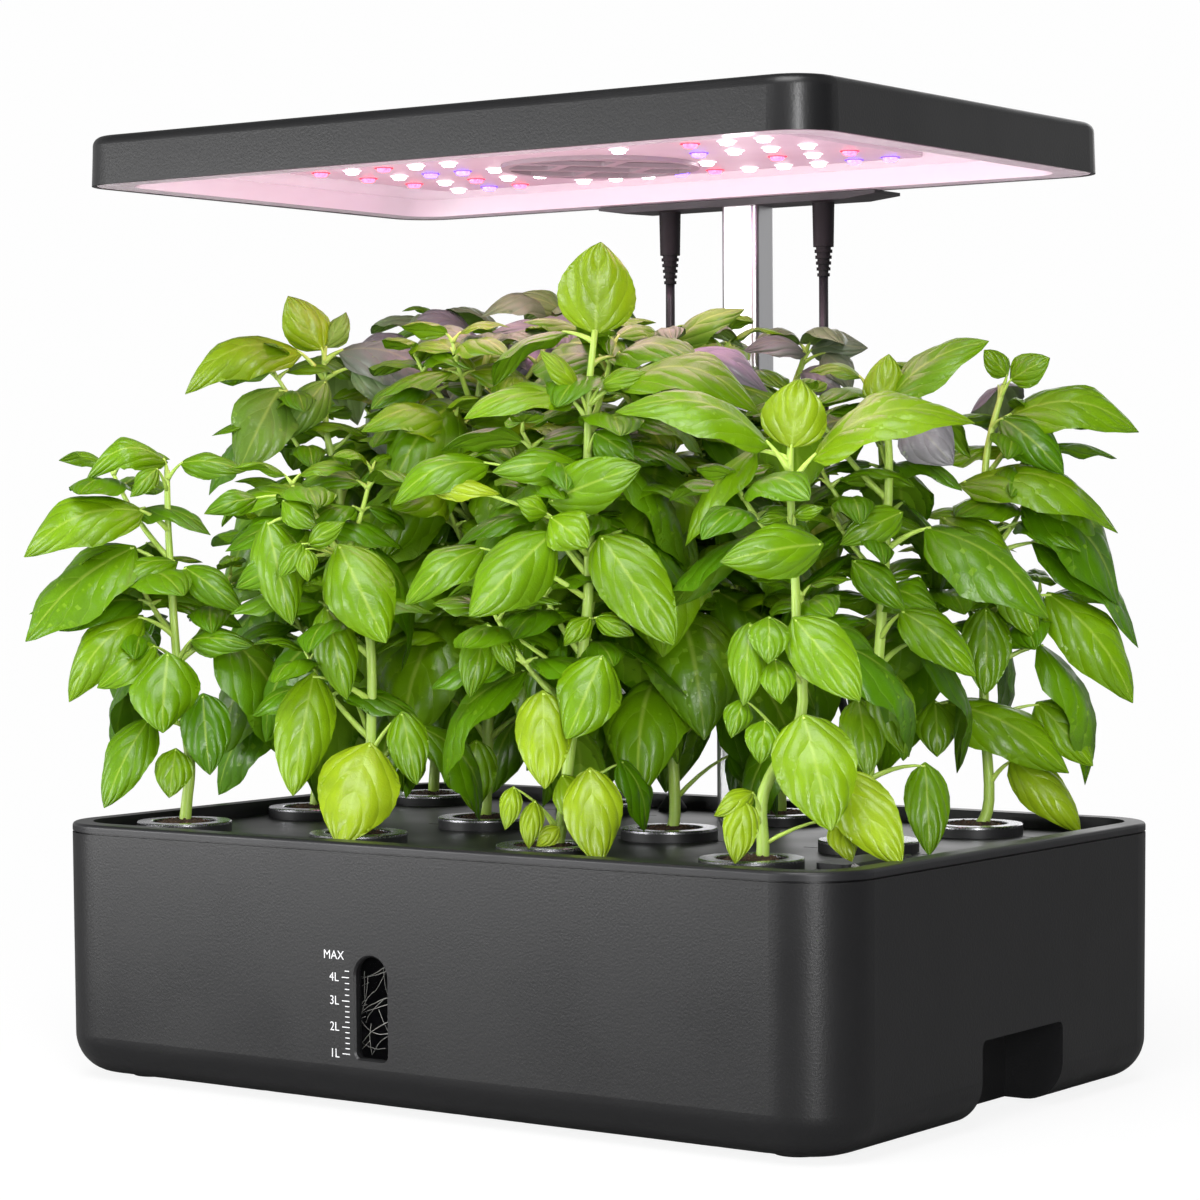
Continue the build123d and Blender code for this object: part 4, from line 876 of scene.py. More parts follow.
# Share of the leaf pairs and side shoots that fill out each plant (column, row)
FULLNESS = {
    (1, 1): 0.25, (2, 1): 0.45, (3, 1): 0.5, (4, 1): 0.4,
    (1, 2): 0.7, (2, 2): 1.0, (3, 2): 1.0, (4, 2): 0.6,
    (1, 3): 1.0, (2, 3): 1.0, (3, 3): 1.0, (4, 3): 0.45,
}

# Leaves listed one by one for each plant (column, row)
LEAVES = {
    (1, 1): (
        (168, 462, 86, 480, 34, 0, 8, 0.5, 0.6, 0),
        (180, 463, 246, 471, 30, 4, 8, 0.2, 0.55, 0),
        (158, 468, 130, 497, 26, 12, 20, 0.2, 0.6, 0),
        (145, 511, 24, 557, 53, 4, 14, 0.3, 0.72, 0),
        (178, 561, 105, 596, 24, 0, 12, 0.25, 0.55, 0),
        (184, 567, 244, 612, 40, 8, 18, 0.25, 0.5, 0),
        (143, 615, 69, 702, 48, 5, 14, 0.3, 0.7, 0),
        (156, 645, 97, 688, 45, 12, 22, 0.2, 0.62, 0),
        (168, 652, 163, 733, 72, 18, 32, 0.12, 0.58, 0),
        (190, 640, 252, 646, 34, 5, 18, 0.2, 0.5, 0),
        (203, 693, 210, 775, 50, 8, 16, 0.15, 0.36, 0),
        (150, 718, 104, 808, 42, 5, 16, 0.15, 0.55, 0),
        (176, 748, 169, 798, 39, 12, 18, 0.12, 0.72, 0),
    ),
    (1, 2): (
        (323, 350, 288, 296, 50, 2, 6, 0.08, 0.88, 0),
        (326, 348, 346, 312, 30, 0, 2, 0.1, 0.8, 0.2),
        (303, 353, 185, 394, 44, 4, 12, 0.34, 0.82, 0),
        (338, 351, 450, 398, 46, 0, 6, 0.3, 0.4, 0.7),
        (281, 387, 238, 471, 68, 10, 24, 0.15, 0.6, 0.1),
        (327, 380, 285, 440, 44, 8, 14, 0.2, 0.58, 0.1),
        (352, 366, 420, 412, 40, 4, 12, 0.2, 0.5, 0.4),
        (372, 420, 410, 464, 40, 0, 8, 0.2, 0.42, 0.6),
    ),
    (2, 1): (
        (371, 742, 339, 846, 84, 14, 36, 0.12, 0.95, 0),
        (314, 672, 293, 796, 62, 8, 22, 0.1, 0.76, 0),
        (326, 606, 347, 700, 42, 10, 16, 0.12, 0.62, 0),
        (338, 544, 386, 643, 76, 16, 32, 0.12, 0.66, 0),
        (267, 520, 292, 625, 56, 10, 20, 0.12, 0.62, 0),
        (303, 543, 278, 578, 26, 20, 28, 0.2, 0.6, 0),
        (308, 545, 345, 522, 26, 18, 26, 0.2, 0.68, 0),
        (306, 548, 308, 582, 24, 24, 30, 0.2, 0.72, 0),
        (282, 500, 318, 528, 34, 12, 18, 0.2, 0.6, 0),
        (258, 498, 204, 514, 30, 6, 14, 0.3, 0.5, 0),
        (402, 711, 417, 785, 42, 8, 18, 0.12, 0.64, 0),
        (300, 560, 236, 588, 40, 6, 14, 0.25, 0.5, 0),
    ),
    (3, 1): (
        (595, 334, 601, 242, 80, 0, 4, 0.05, 0.86, 0),
        (617, 384, 759, 413, 40, 0, 8, 0.3, 0.66, 0),
        (578, 389, 540, 350, 24, 4, 8, 0.15, 0.8, 0),
        (600, 386, 648, 372, 22, 4, 8, 0.15, 0.7, 0),
        (574, 400, 464, 419, 30, 0, 12, 0.2, 0.72, 0),
        (548, 502, 641, 466, 56, 16, 24, 0.12, 0.62, 0),
        (594, 432, 634, 460, 46, 6, 14, 0.2, 0.45, 0),
        (581, 467, 492, 472, 44, 5, 16, 0.2, 0.58, 0),
        (489, 464, 393, 505, 38, 5, 14, 0.28, 0.6, 0),
        (432, 488, 500, 494, 26, 12, 18, 0.2, 1.0, 0),
        (548, 514, 517, 500, 30, 20, 26, 0.2, 0.7, 0),
        (550, 517, 588, 548, 50, 22, 30, 0.2, 0.72, 0),
        (553, 532, 469, 616, 76, 20, 38, 0.12, 0.62, 0),
        (600, 535, 674, 645, 68, 12, 26, 0.12, 0.68, 0),
        (603, 655, 566, 739, 70, 20, 30, 0.1, 0.66, 0),
        (543, 690, 545, 789, 57, 14, 28, 0.12, 0.9, 0),
        (562, 774, 589, 826, 42, 14, 24, 0.15, 0.8, 0),
        (590, 767, 599, 865, 61, 20, 34, 0.12, 0.94, 0),
        (535, 800, 529, 849, 26, 12, 20, 0.15, 0.92, 0),
        (514, 786, 505, 830, 24, 10, 18, 0.15, 0.88, 0),
        (591, 617, 564, 646, 26, 10, 16, 0.2, 0.72, 0),
        (560, 827, 536, 846, 22, 12, 16, 0.2, 1.0, 0),
        (595, 617, 634, 636, 26, 10, 16, 0.2, 0.66, 0),
        (484, 547, 405, 605, 40, 6, 18, 0.2, 0.62, 0),
        (488, 622, 470, 698, 42, 6, 16, 0.15, 0.58, 0),
        (494, 628, 514, 674, 26, 8, 14, 0.2, 0.64, 0),
    ),
    (4, 1): (
        (791, 448, 800, 379, 66, 2, 4, 0.06, 0.92, 0),
        (770, 446, 615, 412, 44, 0, 8, 0.25, 0.68, 0),
        (812, 459, 975, 423, 50, 0, 10, 0.28, 0.78, 0),
        (788, 517, 757, 522, 18, 6, 10, 0.2, 0.66, 0),
        (793, 516, 824, 508, 18, 6, 10, 0.2, 0.66, 0),
        (824, 544, 720, 562, 62, 12, 26, 0.18, 0.62, 0),
        (793, 617, 860, 701, 62, 14, 28, 0.12, 0.68, 0),
        (803, 714, 831, 831, 82, 20, 38, 0.12, 0.78, 0),
        (835, 772, 901, 866, 62, 12, 30, 0.12, 0.92, 0),
        (838, 817, 852, 862, 34, 10, 18, 0.15, 0.98, 0),
        (750, 622, 743, 706, 34, 8, 16, 0.15, 0.64, 0),
        (769, 616, 768, 664, 42, 14, 22, 0.2, 0.6, 0),
        (775, 658, 781, 704, 38, 14, 22, 0.2, 0.62, 0),
        (744, 698, 731, 738, 32, 10, 18, 0.2, 0.6, 0),
        (765, 720, 760, 764, 36, 16, 24, 0.2, 0.64, 0),
        (754, 792, 714, 816, 28, 8, 16, 0.2, 0.9, 0),
        (745, 800, 735, 864, 36, 12, 22, 0.15, 0.9, 0),
    ),
    (4, 2): (
        (880, 412, 889, 354, 42, 2, 4, 0.06, 0.88, 0),
        (888, 400, 989, 341, 36, 2, 8, 0.18, 0.62, 0),
        (906, 416, 953, 465, 60, 8, 20, 0.15, 0.4, 0.9),
        (872, 420, 826, 448, 34, 4, 12, 0.25, 0.42, 0.5),
        (903, 512, 840, 545, 38, 8, 16, 0.2, 0.6, 0),
        (900, 610, 976, 677, 46, 14, 26, 0.18, 0.6, 0),
        (858, 698, 868, 776, 46, 12, 24, 0.15, 0.68, 0),
        (879, 667, 909, 757, 52, 10, 24, 0.15, 0.68, 0),
        (852, 560, 905, 610, 40, 12, 22, 0.2, 0.5, 0),
        (925, 762, 929, 856, 46, 10, 20, 0.12, 0.58, 0),
    ),
    (4, 3): (
        (1008, 376, 984, 350, 26, 2, 5, 0.1, 0.7, 0),
        (1010, 380, 1050, 358, 34, 4, 10, 0.15, 0.62, 0),
        (1006, 417, 1139, 432, 50, 0, 6, 0.3, 0.64, 0),
        (1000, 417, 1064, 475, 50, 4, 14, 0.25, 0.36, 0),
        (958, 484, 1118, 533, 42, 6, 12, 0.28, 0.64, 0),
        (1030, 520, 1089, 548, 40, 0, 8, 0.3, 0.5, 0),
        (940, 516, 1021, 578, 56, 12, 24, 0.18, 0.62, 0),
        (1000, 573, 1038, 640, 42, 8, 18, 0.18, 0.6, 0),
        (1047, 592, 1133, 703, 54, 2, 10, 0.2, 0.66, 0),
        (986, 607, 985, 695, 50, 8, 16, 0.12, 0.58, 0),
        (940, 702, 1069, 773, 50, 6, 18, 0.18, 0.66, 0),
        (1036, 702, 1093, 766, 46, 0, 8, 0.18, 0.7, 0),
        (1010, 757, 1081, 833, 48, 6, 14, 0.18, 0.9, 0),
        (935, 700, 937, 757, 46, 8, 16, 0.15, 0.6, 0),
    ),
    (1, 3): (
        (474, 334, 402, 328, 30, 10, 18, 0.34, 0.5, 0.9),
        (438, 346, 500, 354, 24, 30, 38, 0.3, 0.5, 1.0),
        (450, 382, 522, 390, 24, 34, 42, 0.3, 0.5, 1.0),
        (420, 352, 352, 352, 26, 0, 10, 0.3, 0.45, 0.9),
    ),
    (2, 3): (
        (570, 318, 517, 296, 24, 0, 6, 0.2, 0.6, 0.3),
        (560, 346, 492, 332, 24, 30, 38, 0.3, 0.5, 0.8),
        (580, 368, 492, 378, 28, 44, 52, 0.3, 0.5, 1.0),
    ),
    (3, 2): (
        (670, 346, 674, 328, 18, 2, 4, 0.1, 0.85, 0),
        (674, 345, 745, 309, 34, 0, 6, 0.25, 0.62, 0.1),
        (680, 356, 768, 392, 34, 30, 40, 0.3, 0.5, 1.0),
        (656, 352, 616, 344, 26, 2, 8, 0.25, 0.55, 0.2),
    ),
    (3, 3): (
        (806, 354, 742, 352, 24, 8, 16, 0.3, 0.5, 0.8),
        (810, 350, 868, 348, 34, 0, 8, 0.3, 0.5, 0.6),
        (800, 372, 842, 392, 40, 6, 14, 0.3, 0.4, 0.9),
    ),
}

CANOPY_LOW = Vector((-0.2135, -0.1385, 0.1))
CANOPY_HIGH = Vector((0.2135, 0.1385, 0.3155))
POST_KEEP_OUT = ((-0.052, 0.091), (0.052, 0.145))  # the post and both leads
LID_KEEP_OUT = ((0.138, -0.085), (0.172, -0.03), 0.119)  # over the fill lid, up to this height
PAINTED_LAMP_TINT_FROM_Z = 0.265  # a leaf of the rear rows that grows over this height gets the painted purple-grey tint of the grow lamp's light
STEM_RADII = (0.0026, 0.0012)
STEM_SUNK = 0.003  # into the plug
BIG_CANOPY = 6  # a plant with more listed leaves than this shows those at the front, and no others

LEAF_THICKNESS = 0.00028
LEAF_TOOTH = 0.009  # how far a tooth of the margin stands out, as a share of the half width
LEAF_TWIST = 0.22  # spread of the turn of the tip, in radians
LEAF_WAVE = 0.06  # height of the margin's waves, as a share of the width
LEAF_CREASE = 0.05  # depth of the groove over the midrib, as a share of the width
LEAF_CREASE_WIDTH = 0.16  # its width, as a share of the half width
LARGE_LEAF = 0.055  # a shorter leaf has fewer side veins
SMALL_LEAF = 0.024  # up to this length a leaf has the coarse mesh
SMALL_LEAF_MESH = (10, 6)
FRONT_LEAF_MESH = (18, 8)
REAR_LEAF_MESH = (14, 8)
VEINS = 4.4  # side veins along a leaf
VEIN_START = 0.15
VEIN_SLANT = 0.26  # share of the length that a side vein runs forward on its way to the edge
VEIN_CURVE = 0.24


def leaf_outline(along):
    """Half width of a leaf, as a share of its greatest, at each share of its length."""
    share = np.clip(along, 0.0, 1.0)
    return share**0.5 * (1 - share) ** 0.78 / 0.425


def quads(grid):
    """The four-cornered faces of a grid of point numbers."""
    return np.stack([grid[:-1, :-1], grid[:-1, 1:], grid[1:, 1:], grid[1:, :-1]], axis=2).reshape(-1, 4)


def bent_line(start, middle, end, steps):
    """Points along a line from start to end that bends towards middle, at each of the steps from 0 to 1."""
    return (1 - steps) ** 2 * start + 2 * steps * (1 - steps) * middle + steps**2 * end


def leaf_blade(base, middle, tip, normal, width, dice, rows, columns, puff, cup, spread):
    """Points, faces, leaf coordinates and underside shares of a closed thin leaf along a bent midrib."""
    along = np.linspace(0, 1, rows + 1)[:, None]
    across = np.linspace(-1, 1, columns + 1)[None, :, None]
    rib = bent_line(base, middle, tip, along)
    forward = 2 * (1 - along) * (middle - base) + 2 * along * (tip - middle)
    forward /= np.linalg.norm(forward, axis=1)[:, None]
    side = np.cross(forward, normal)
    side /= np.linalg.norm(side, axis=1)[:, None]
    up = np.cross(side, forward)
    turn = dice.normal(0, LEAF_TWIST) * along**1.5
    side, up = side * np.cos(turn) + up * np.sin(turn), up * np.cos(turn) - side * np.sin(turn)
    half = width / 2 * np.maximum(leaf_outline(along), 0.02 + 0.03 * (1 - along))
    teeth = 1 + LEAF_TOOTH * np.where(np.arange(rows + 1) % 2, 1.0, -1.0)[:, None]
    shares = along[:, :, None]
    edge = np.abs(across)
    reach = half[:, :, None] * np.where(edge > 0.99, teeth[:, :, None], 1.0)
    veins = VEINS * (shares * spread - VEIN_SLANT * edge - VEIN_CURVE * edge**2) + VEIN_START
    swell = np.sin(np.pi * (veins - np.floor(veins)))
    crease = np.exp(-((edge / LEAF_CREASE_WIDTH) ** 2))
    fullness = np.sin(np.pi * shares)
    lift = -reach * (1 - np.cos(cup * across)) / cup * 1.5
    lift = lift + puff * width * (swell - 0.5) * edge * (1.15 - edge) * 1.6 * fullness**0.5
    lift = lift - LEAF_CREASE * width * crease * fullness**0.5
    waves = np.sin(2 * np.pi * (1.6 * shares + dice.random()) + np.where(across > 0, 1.3, 0.0))
    lift = lift + LEAF_WAVE * width * edge**3 * waves * fullness
    top = rib[:, None] + side[:, None] * reach * np.sin(cup * across) / cup + up[:, None] * lift
    slope_along = np.gradient(top, axis=0)
    slope_across = np.gradient(top, axis=1)
    outward = np.cross(slope_across, slope_along)
    outward /= np.maximum(np.linalg.norm(outward, axis=2)[:, :, None], 1e-12)
    if np.sum(outward * up[:, None]) < 0:
        outward = -outward
    under = top - outward * LEAF_THICKNESS
    number = np.arange((rows + 1) * (columns + 1)).reshape(rows + 1, columns + 1)
    below = number.copy()
    inner = (slice(1, -1), slice(1, -1))
    below[inner] = number.size + np.arange((rows - 1) * (columns - 1)).reshape(rows - 1, columns - 1)
    points = np.concatenate([top.reshape(-1, 3), under[inner].reshape(-1, 3)])
    faces = np.concatenate([quads(number), quads(below)[:, ::-1]])
    first = points[faces[0]]
    if np.dot(np.cross(first[1] - first[0], first[3] - first[0]), up[0]) < 0:
        faces = faces[:, ::-1]
    grid_share = np.empty((rows + 1, columns + 1, 2))
    grid_share[..., 0] = (shares * spread)[..., 0]
    grid_share[..., 1] = (across * 0.5 + 0.5)[..., 0]
    leaf_place = np.concatenate([grid_share.reshape(-1, 2), grid_share[inner].reshape(-1, 2)])
    underside = np.concatenate([np.zeros(number.size), np.ones(len(points) - number.size)])
    return points, faces, leaf_place, underside


class Plant:
    """Gathers the stalks and leaves of one plant, and makes one object of them."""

    def __init__(self, seed, detail):
        self.dice = np.random.default_rng(seed)
        self.detail = detail
        self.points, self.faces, self.kinds, self.tones, self.shares = [], [], [], [], []
        self.margins = []
        self.count = 0

    def add(self, points, faces, kind, shares, tones, margin=None):
        """Takes in one stalk or leaf, with which of its points lie on a leaf's margin."""
        self.margins.append(np.zeros(len(points), bool) if margin is None else margin)
        self.points.append(points)
        self.faces += [tuple(int(corner) + self.count for corner in face) for face in faces]
        self.kinds += [kind] * len(faces)
        self.shares.append(shares)
        self.tones.append(tones)
        self.count += len(points)

    def stalk(self, line, start_radius, end_radius, young, sides=6):
        """A stem or leaf stalk along a line, thinner towards its end."""
        vertices, faces = tube(line, np.linspace(start_radius, end_radius, len(line)), sides)
        length_share = np.repeat(np.linspace(0, 1, len(line)), sides)
        shares = np.stack([length_share, np.tile(np.linspace(0, 1, sides), len(line))], axis=1)
        tones = np.tile([young, 0.0, 0.0, self.dice.random()], (len(vertices), 1))
        self.add(vertices, faces, 1, shares, tones)

    def leaf(self, base, tip, normal, width, arch, young, purple, root=None, checked=True):
        """Adds a leaf from base to tip, arched upwards, on a stalk from the root; False if it has no room."""
        base, tip, normal = (np.array(item, float) for item in (base, tip, normal))
        chord = tip - base
        length = np.linalg.norm(chord)
        normal = normal - chord * normal.dot(chord) / length**2
        normal /= max(np.linalg.norm(normal), 1e-9)
        middle = (base + tip) / 2 + normal * 2 * arch * length
        rows, columns = self.detail if length > SMALL_LEAF else SMALL_LEAF_MESH
        puff = (0.03 + 0.05 * self.dice.random()) * min(1.0, length / 0.045) ** 2
        cup = 0.35 + 0.5 * self.dice.random()
        spread = min(1.0, max(0.5, length / LARGE_LEAF))
        points, faces, shares, under = leaf_blade(
            base, middle, tip, normal, width, self.dice, rows, columns, puff, cup, spread
        )
        if checked and not has_room(points):
            return False
        tones = np.tile([young, 0.0, purple, self.dice.random()], (len(points), 1))
        tones[:, 1] = under
        grid = np.ones((rows + 1, columns + 1), bool)
        grid[1:-1, 1:-1] = False
        margin = np.concatenate([grid.ravel(), np.zeros(len(points) - grid.size, bool)])
        self.add(points, faces, 0, shares, tones, margin)
        if root is not None:
            root = np.array(root, float)
            bend = root * 0.45 + base * 0.55 + (base - root).dot(base - root) ** 0.5 * np.array([0, 0, 0.12])
            steps = np.linspace(0, 1, 6)[:, None]
            entry = base + (middle - base) * min(0.1, 0.004 / max(length, 1e-6))
            thick = 0.0006 + 0.0009 * min(1.0, length / 0.05)
            self.stalk(bent_line(root, bend, entry, steps), thick, thick * 0.35, min(1.0, young + 0.15))
        return True

    def object(self, name, materials):
        """Makes the plant's object with its finishes, leaf coordinates and tones."""
        piece = mesh_piece(name, np.concatenate(self.points), self.faces, materials, kinds=self.kinds)
        mesh = piece.data
        ends = np.empty(len(mesh.edges) * 2, dtype=np.int32)
        mesh.edges.foreach_get("vertices", ends)
        sharp = np.concatenate(self.margins)[ends].reshape(-1, 2).all(axis=1)
        mesh.edges.foreach_set("use_edge_sharp", sharp)
        corners = np.empty(len(mesh.loops), dtype=np.int32)
        mesh.loops.foreach_get("vertex_index", corners)
        shares = np.concatenate(self.shares)[corners]
        layer = mesh.uv_layers.new(name="leaf_place")
        layer.data.foreach_set("uv", shares.astype(np.float32).ravel())
        tones = np.concatenate(self.tones)
        colours = mesh.color_attributes.new(name="leaf_tone", type="FLOAT_COLOR", domain="POINT")
        colours.data.foreach_set("color", tones.astype(np.float32).ravel())
        return piece


def has_room(points):
    """Whether a leaf stays in the canopy and clear of the post, the leads and the lid."""
    low, high = points.min(axis=0), points.max(axis=0)
    if np.any(low < CANOPY_LOW) or np.any(high > CANOPY_HIGH):
        return False
    near, far = POST_KEEP_OUT
    beside = (points[:, 0] > near[0]) & (points[:, 0] < far[0]) & (points[:, 1] > near[1])
    if np.any(beside):
        return False
    low_side, high_side, height = LID_KEEP_OUT
    over = (points[:, 0] > low_side[0]) & (points[:, 0] < high_side[0]) & (points[:, 1] > low_side[1])
    return not np.any(over & (points[:, 1] < high_side[1]) & (points[:, 2] < height))


def smooth_line(points, steps=5):
    """A line through the points, rounded at its corners."""
    points = np.array([tuple(point) for point in points])
    padded = np.concatenate([[2 * points[0] - points[1]], points, [2 * points[-1] - points[-2]]])
    line = []
    for before, start, end, after in zip(padded, padded[1:], padded[2:], padded[3:]):
        for step in range(steps):
            share = step / steps
            squared = (2 * before - 5 * start + 4 * end - after) * share**2
            cubed = (3 * start - before - 3 * end + after) * share**3
            line.append(0.5 * (2 * start + (end - before) * share + squared + cubed))
    line.append(points[-1])
    return np.array(line)


def grown_leaf(plant, root, heading, length, rise, droop, young, purple, stalk):
    """Tries a leaf from a stem towards a heading, shorter or turned a little until it has room."""
    for attempt in range(6):
        turn = heading + plant.dice.normal(0, 0.12 + 0.2 * attempt)
        size = length * (1 - 0.09 * attempt)
        out = np.array([np.cos(turn), np.sin(turn), 0.0])
        start = np.array(root) + out * stalk * np.cos(rise) + np.array([0, 0, stalk * np.sin(rise)])
        lean = rise * 0.5 - droop
        tip = start + size * (out * np.cos(lean) + np.array([0, 0, np.sin(lean)]))
        normal = np.array([0, 0, 1.0]) * np.cos(lean) - out * np.sin(lean)
        normal += np.array([-out[1], out[0], 0]) * plant.dice.normal(0, 0.25)
        normal += np.array(TOWARD) * min(0.8, max(0.0, -lean))
        width = size * (0.6 + 0.14 * plant.dice.random())
        arch = 0.12 + 0.12 * plant.dice.random() + 0.08 * (purple > 0)
        if plant.leaf(start, tip, normal, width, arch, young, purple, root):
            return True
    return False


SHOOT_RADII = (0.0013, 0.0008)
SHOOT_PAIRS = ((0.55, 0.9), (0.8, 1.0), (1.0, 0.6))  # how far up the shoot each pair stands, and its size


def grown_shoot(plant, root, heading, reach, size, young):
    """A side shoot: a thin branch that climbs from the stem and ends in small crossed leaf pairs."""
    out = np.array([np.cos(heading), np.sin(heading), 0.0])
    root = np.array(root)
    tip = root + out * reach * 0.62 + np.array([0, 0, reach * 0.78])
    tip[2] = min(tip[2], CANOPY_HIGH.z - 0.012)
    bend = root * 0.5 + tip * 0.5 + out * reach * 0.12
    if not has_room(np.stack([bend, tip])):
        return
    steps = np.linspace(0, 1, 7)[:, None]
    plant.stalk(bent_line(root, bend, tip, steps), *SHOOT_RADII, 0.7)
    turn = plant.dice.random() * np.pi
    for pair, (share, scale) in enumerate(SHOOT_PAIRS):
        rise, droop = 0.45 + 0.25 * pair, 0.55 - 0.1 * pair
        place = root + (tip - root) * share + (bend - (root + tip) / 2) * 4 * share * (1 - share) * 0.5
        for half in (0, 1):
            way = turn + pair * np.pi / 2 + half * np.pi
            grown_leaf(plant, place, way, size * scale, rise, droop, young + 0.08 * pair, 0.0, 0.004)


class GardenPlantSettings(bpy.types.PropertyGroup):
    """Colours and fullness of the basil plants."""

    shaded_old_leaf: StringProperty(name="Old leaf", description="A leaf in shade, as sRGB hex", default="#2F5501")
    grown: StringProperty(name="Leaf", description="A full-grown leaf, as sRGB hex", default="#548702")
    fresh: StringProperty(name="Fresh leaf", description="A fresh leaf, as sRGB hex", default="#7BA508")
    tip: StringProperty(name="Shoot tip", description="The youngest leaves, as sRGB hex", default="#A6BE1E")
    stem: StringProperty(name="Stem", description="Colour of the stems, as sRGB hex", default="#B2D052")
    leaf_length: FloatProperty(
        name="Leaf length", description="Length of a large leaf", default=0.058, unit="LENGTH"
    )
    pairs: IntProperty(
        name="Leaf pairs", description="Leaf pairs that fill out each stem", default=15, min=0, max=24
    )


def leaf_finish(settings):
    """Waxy basil leaf: satin shine, pale veins, puffed between them, and light through the blade."""
    material, tree, place = new_material("waxy_basil_leaf")
    leaf_place = add_node(tree, "ShaderNodeUVMap", uv_map="leaf_place")
    along, across = add_node(tree, "ShaderNodeSeparateXYZ", {0: leaf_place}).outputs[:2]
    tone = add_node(tree, "ShaderNodeVertexColor", layer_name="leaf_tone")
    young, under, purple = add_node(tree, "ShaderNodeSeparateColor", {0: tone}).outputs[:3]

    # Distance from the midrib, from 0 to 1 at the edge
    side = add_node(tree, "ShaderNodeMath", {0: across, 1: 2.0, 2: -1.0}, operation="MULTIPLY_ADD")
    edge = add_node(tree, "ShaderNodeMath", {0: side}, operation="ABSOLUTE")
    squared = add_node(tree, "ShaderNodeMath", {0: edge, 1: edge}, operation="MULTIPLY")
    # Place between two side veins, which wander a little, from 0 on one to 1 on the next
    wander = add_node(tree, "ShaderNodeTexNoise", {"Vector": place, "Scale": 1000 / 7.0, "Detail": 2.0})
    drift = add_node(tree, "ShaderNodeMath", {0: wander, 1: 0.06, 2: -0.03}, operation="MULTIPLY_ADD")
    drifted = add_node(tree, "ShaderNodeMath", {0: along, 1: drift}, operation="ADD")
    inputs = {0: edge, 1: -VEIN_SLANT, 2: drifted}
    slanted = add_node(tree, "ShaderNodeMath", inputs, operation="MULTIPLY_ADD")
    inputs = {0: squared, 1: -VEIN_CURVE, 2: slanted}
    curved = add_node(tree, "ShaderNodeMath", inputs, operation="MULTIPLY_ADD")
    inputs = {0: curved, 1: VEINS, 2: VEIN_START}
    counted = add_node(tree, "ShaderNodeMath", inputs, operation="MULTIPLY_ADD")
    order = add_node(tree, "ShaderNodeMath", {0: counted}, operation="FRACT")
    # Height between them, from 0 on a vein to 1 midway
    rest = add_node(tree, "ShaderNodeMath", {0: 1.0, 1: order}, operation="SUBTRACT")
    product = add_node(tree, "ShaderNodeMath", {0: order, 1: rest}, operation="MULTIPLY")
    between = add_node(tree, "ShaderNodeMath", {0: product, 1: 4.0}, operation="MULTIPLY")
    midrib = add_node(tree, "ShaderNodeMapRange", {"Value": edge, 1: 0.015, 2: 0.07, 3: 1.0, 4: 0.0})
    side_vein = add_node(tree, "ShaderNodeMapRange", {"Value": between, 1: 0.0, 2: 0.14, 3: 0.4, 4: 0.0})
    vein = add_node(tree, "ShaderNodeMath", {0: midrib, 1: side_vein}, operation="MAXIMUM")

    # Relief: the puffs between the side veins, small blisters and a fine net of veins
    blister = add_node(tree, "ShaderNodeTexNoise", {"Vector": place, "Scale": 1000 / 3.2, "Detail": 3.0})
    inputs = {"Vector": place, "Scale": 1000 / 2.2}
    net = add_node(tree, "ShaderNodeTexVoronoi", inputs, feature="DISTANCE_TO_EDGE")
    net_line = add_node(tree, "ShaderNodeMapRange", {"Value": net, 1: 0.0, 2: 0.12})
    blisters = add_node(tree, "ShaderNodeMath", {0: blister, 1: 0.26}, operation="MULTIPLY")
    puffs = add_node(tree, "ShaderNodeMath", {0: between, 1: 0.8, 2: blisters}, operation="MULTIPLY_ADD")
    height = add_node(tree, "ShaderNodeMath", {0: net_line, 1: 0.06, 2: puffs}, operation="MULTIPLY_ADD")
    relief = add_node(tree, "ShaderNodeBump", {"Height": height, "Strength": 0.9, "Distance": 0.00055})

    # The tone ramp runs from an old leaf in painted shade to the youngest leaves, so the tone holds both age
    # and painted shade
    ramp = add_node(tree, "ShaderNodeValToRGB", {0: young})
    stops = ((0.0, settings.shaded_old_leaf), (0.4, settings.grown), (0.72, settings.fresh), (1.0, settings.tip))
    elements = ramp.color_ramp.elements
    while len(elements) < len(stops):
        elements.new(0.5)
    for element, (position, code) in zip(elements, stops):
        element.position = position
        element.color = linear(code)
    patch = add_node(tree, "ShaderNodeTexNoise", {"Vector": place, "Scale": 1000 / 14.0, "Detail": 3.0})
    dull = add_node(tree, "ShaderNodeMapRange", {"Value": patch, 1: 0.35, 2: 0.7})
    colour = ramp.outputs[0]
    # (where it lies, how much of it there is, its colour), each over the ones before
    layers = (
        (dull.outputs[0], 0.3, settings.shaded_old_leaf),
        (vein.outputs[0], 0.48, "#AEC84E"),
        # Painted light: a purple-grey layer on the upper leaves stands in for the grow lamp's pink-violet
        # light on them
        (purple, 0.85, "#8C7E94"),
        (under, 0.45, "#8EB82C"),
    )
    for where, amount, code in layers:
        share = add_node(tree, "ShaderNodeMath", {0: where, 1: amount}, operation="MULTIPLY")
        inputs = {0: share, 6: colour, 7: linear(code)}
        colour = add_node(tree, "ShaderNodeMix", inputs, data_type="RGBA").outputs[2]
    gloss = add_node(tree, "ShaderNodeMapRange", {"Value": blister, 3: 0.24, 4: 0.36})
    inputs = {"Base Color": colour, "Roughness": gloss, "Normal": relief, "Specular IOR Level": 0.48}
    surface = add_node(tree, "ShaderNodeBsdfPrincipled", inputs)

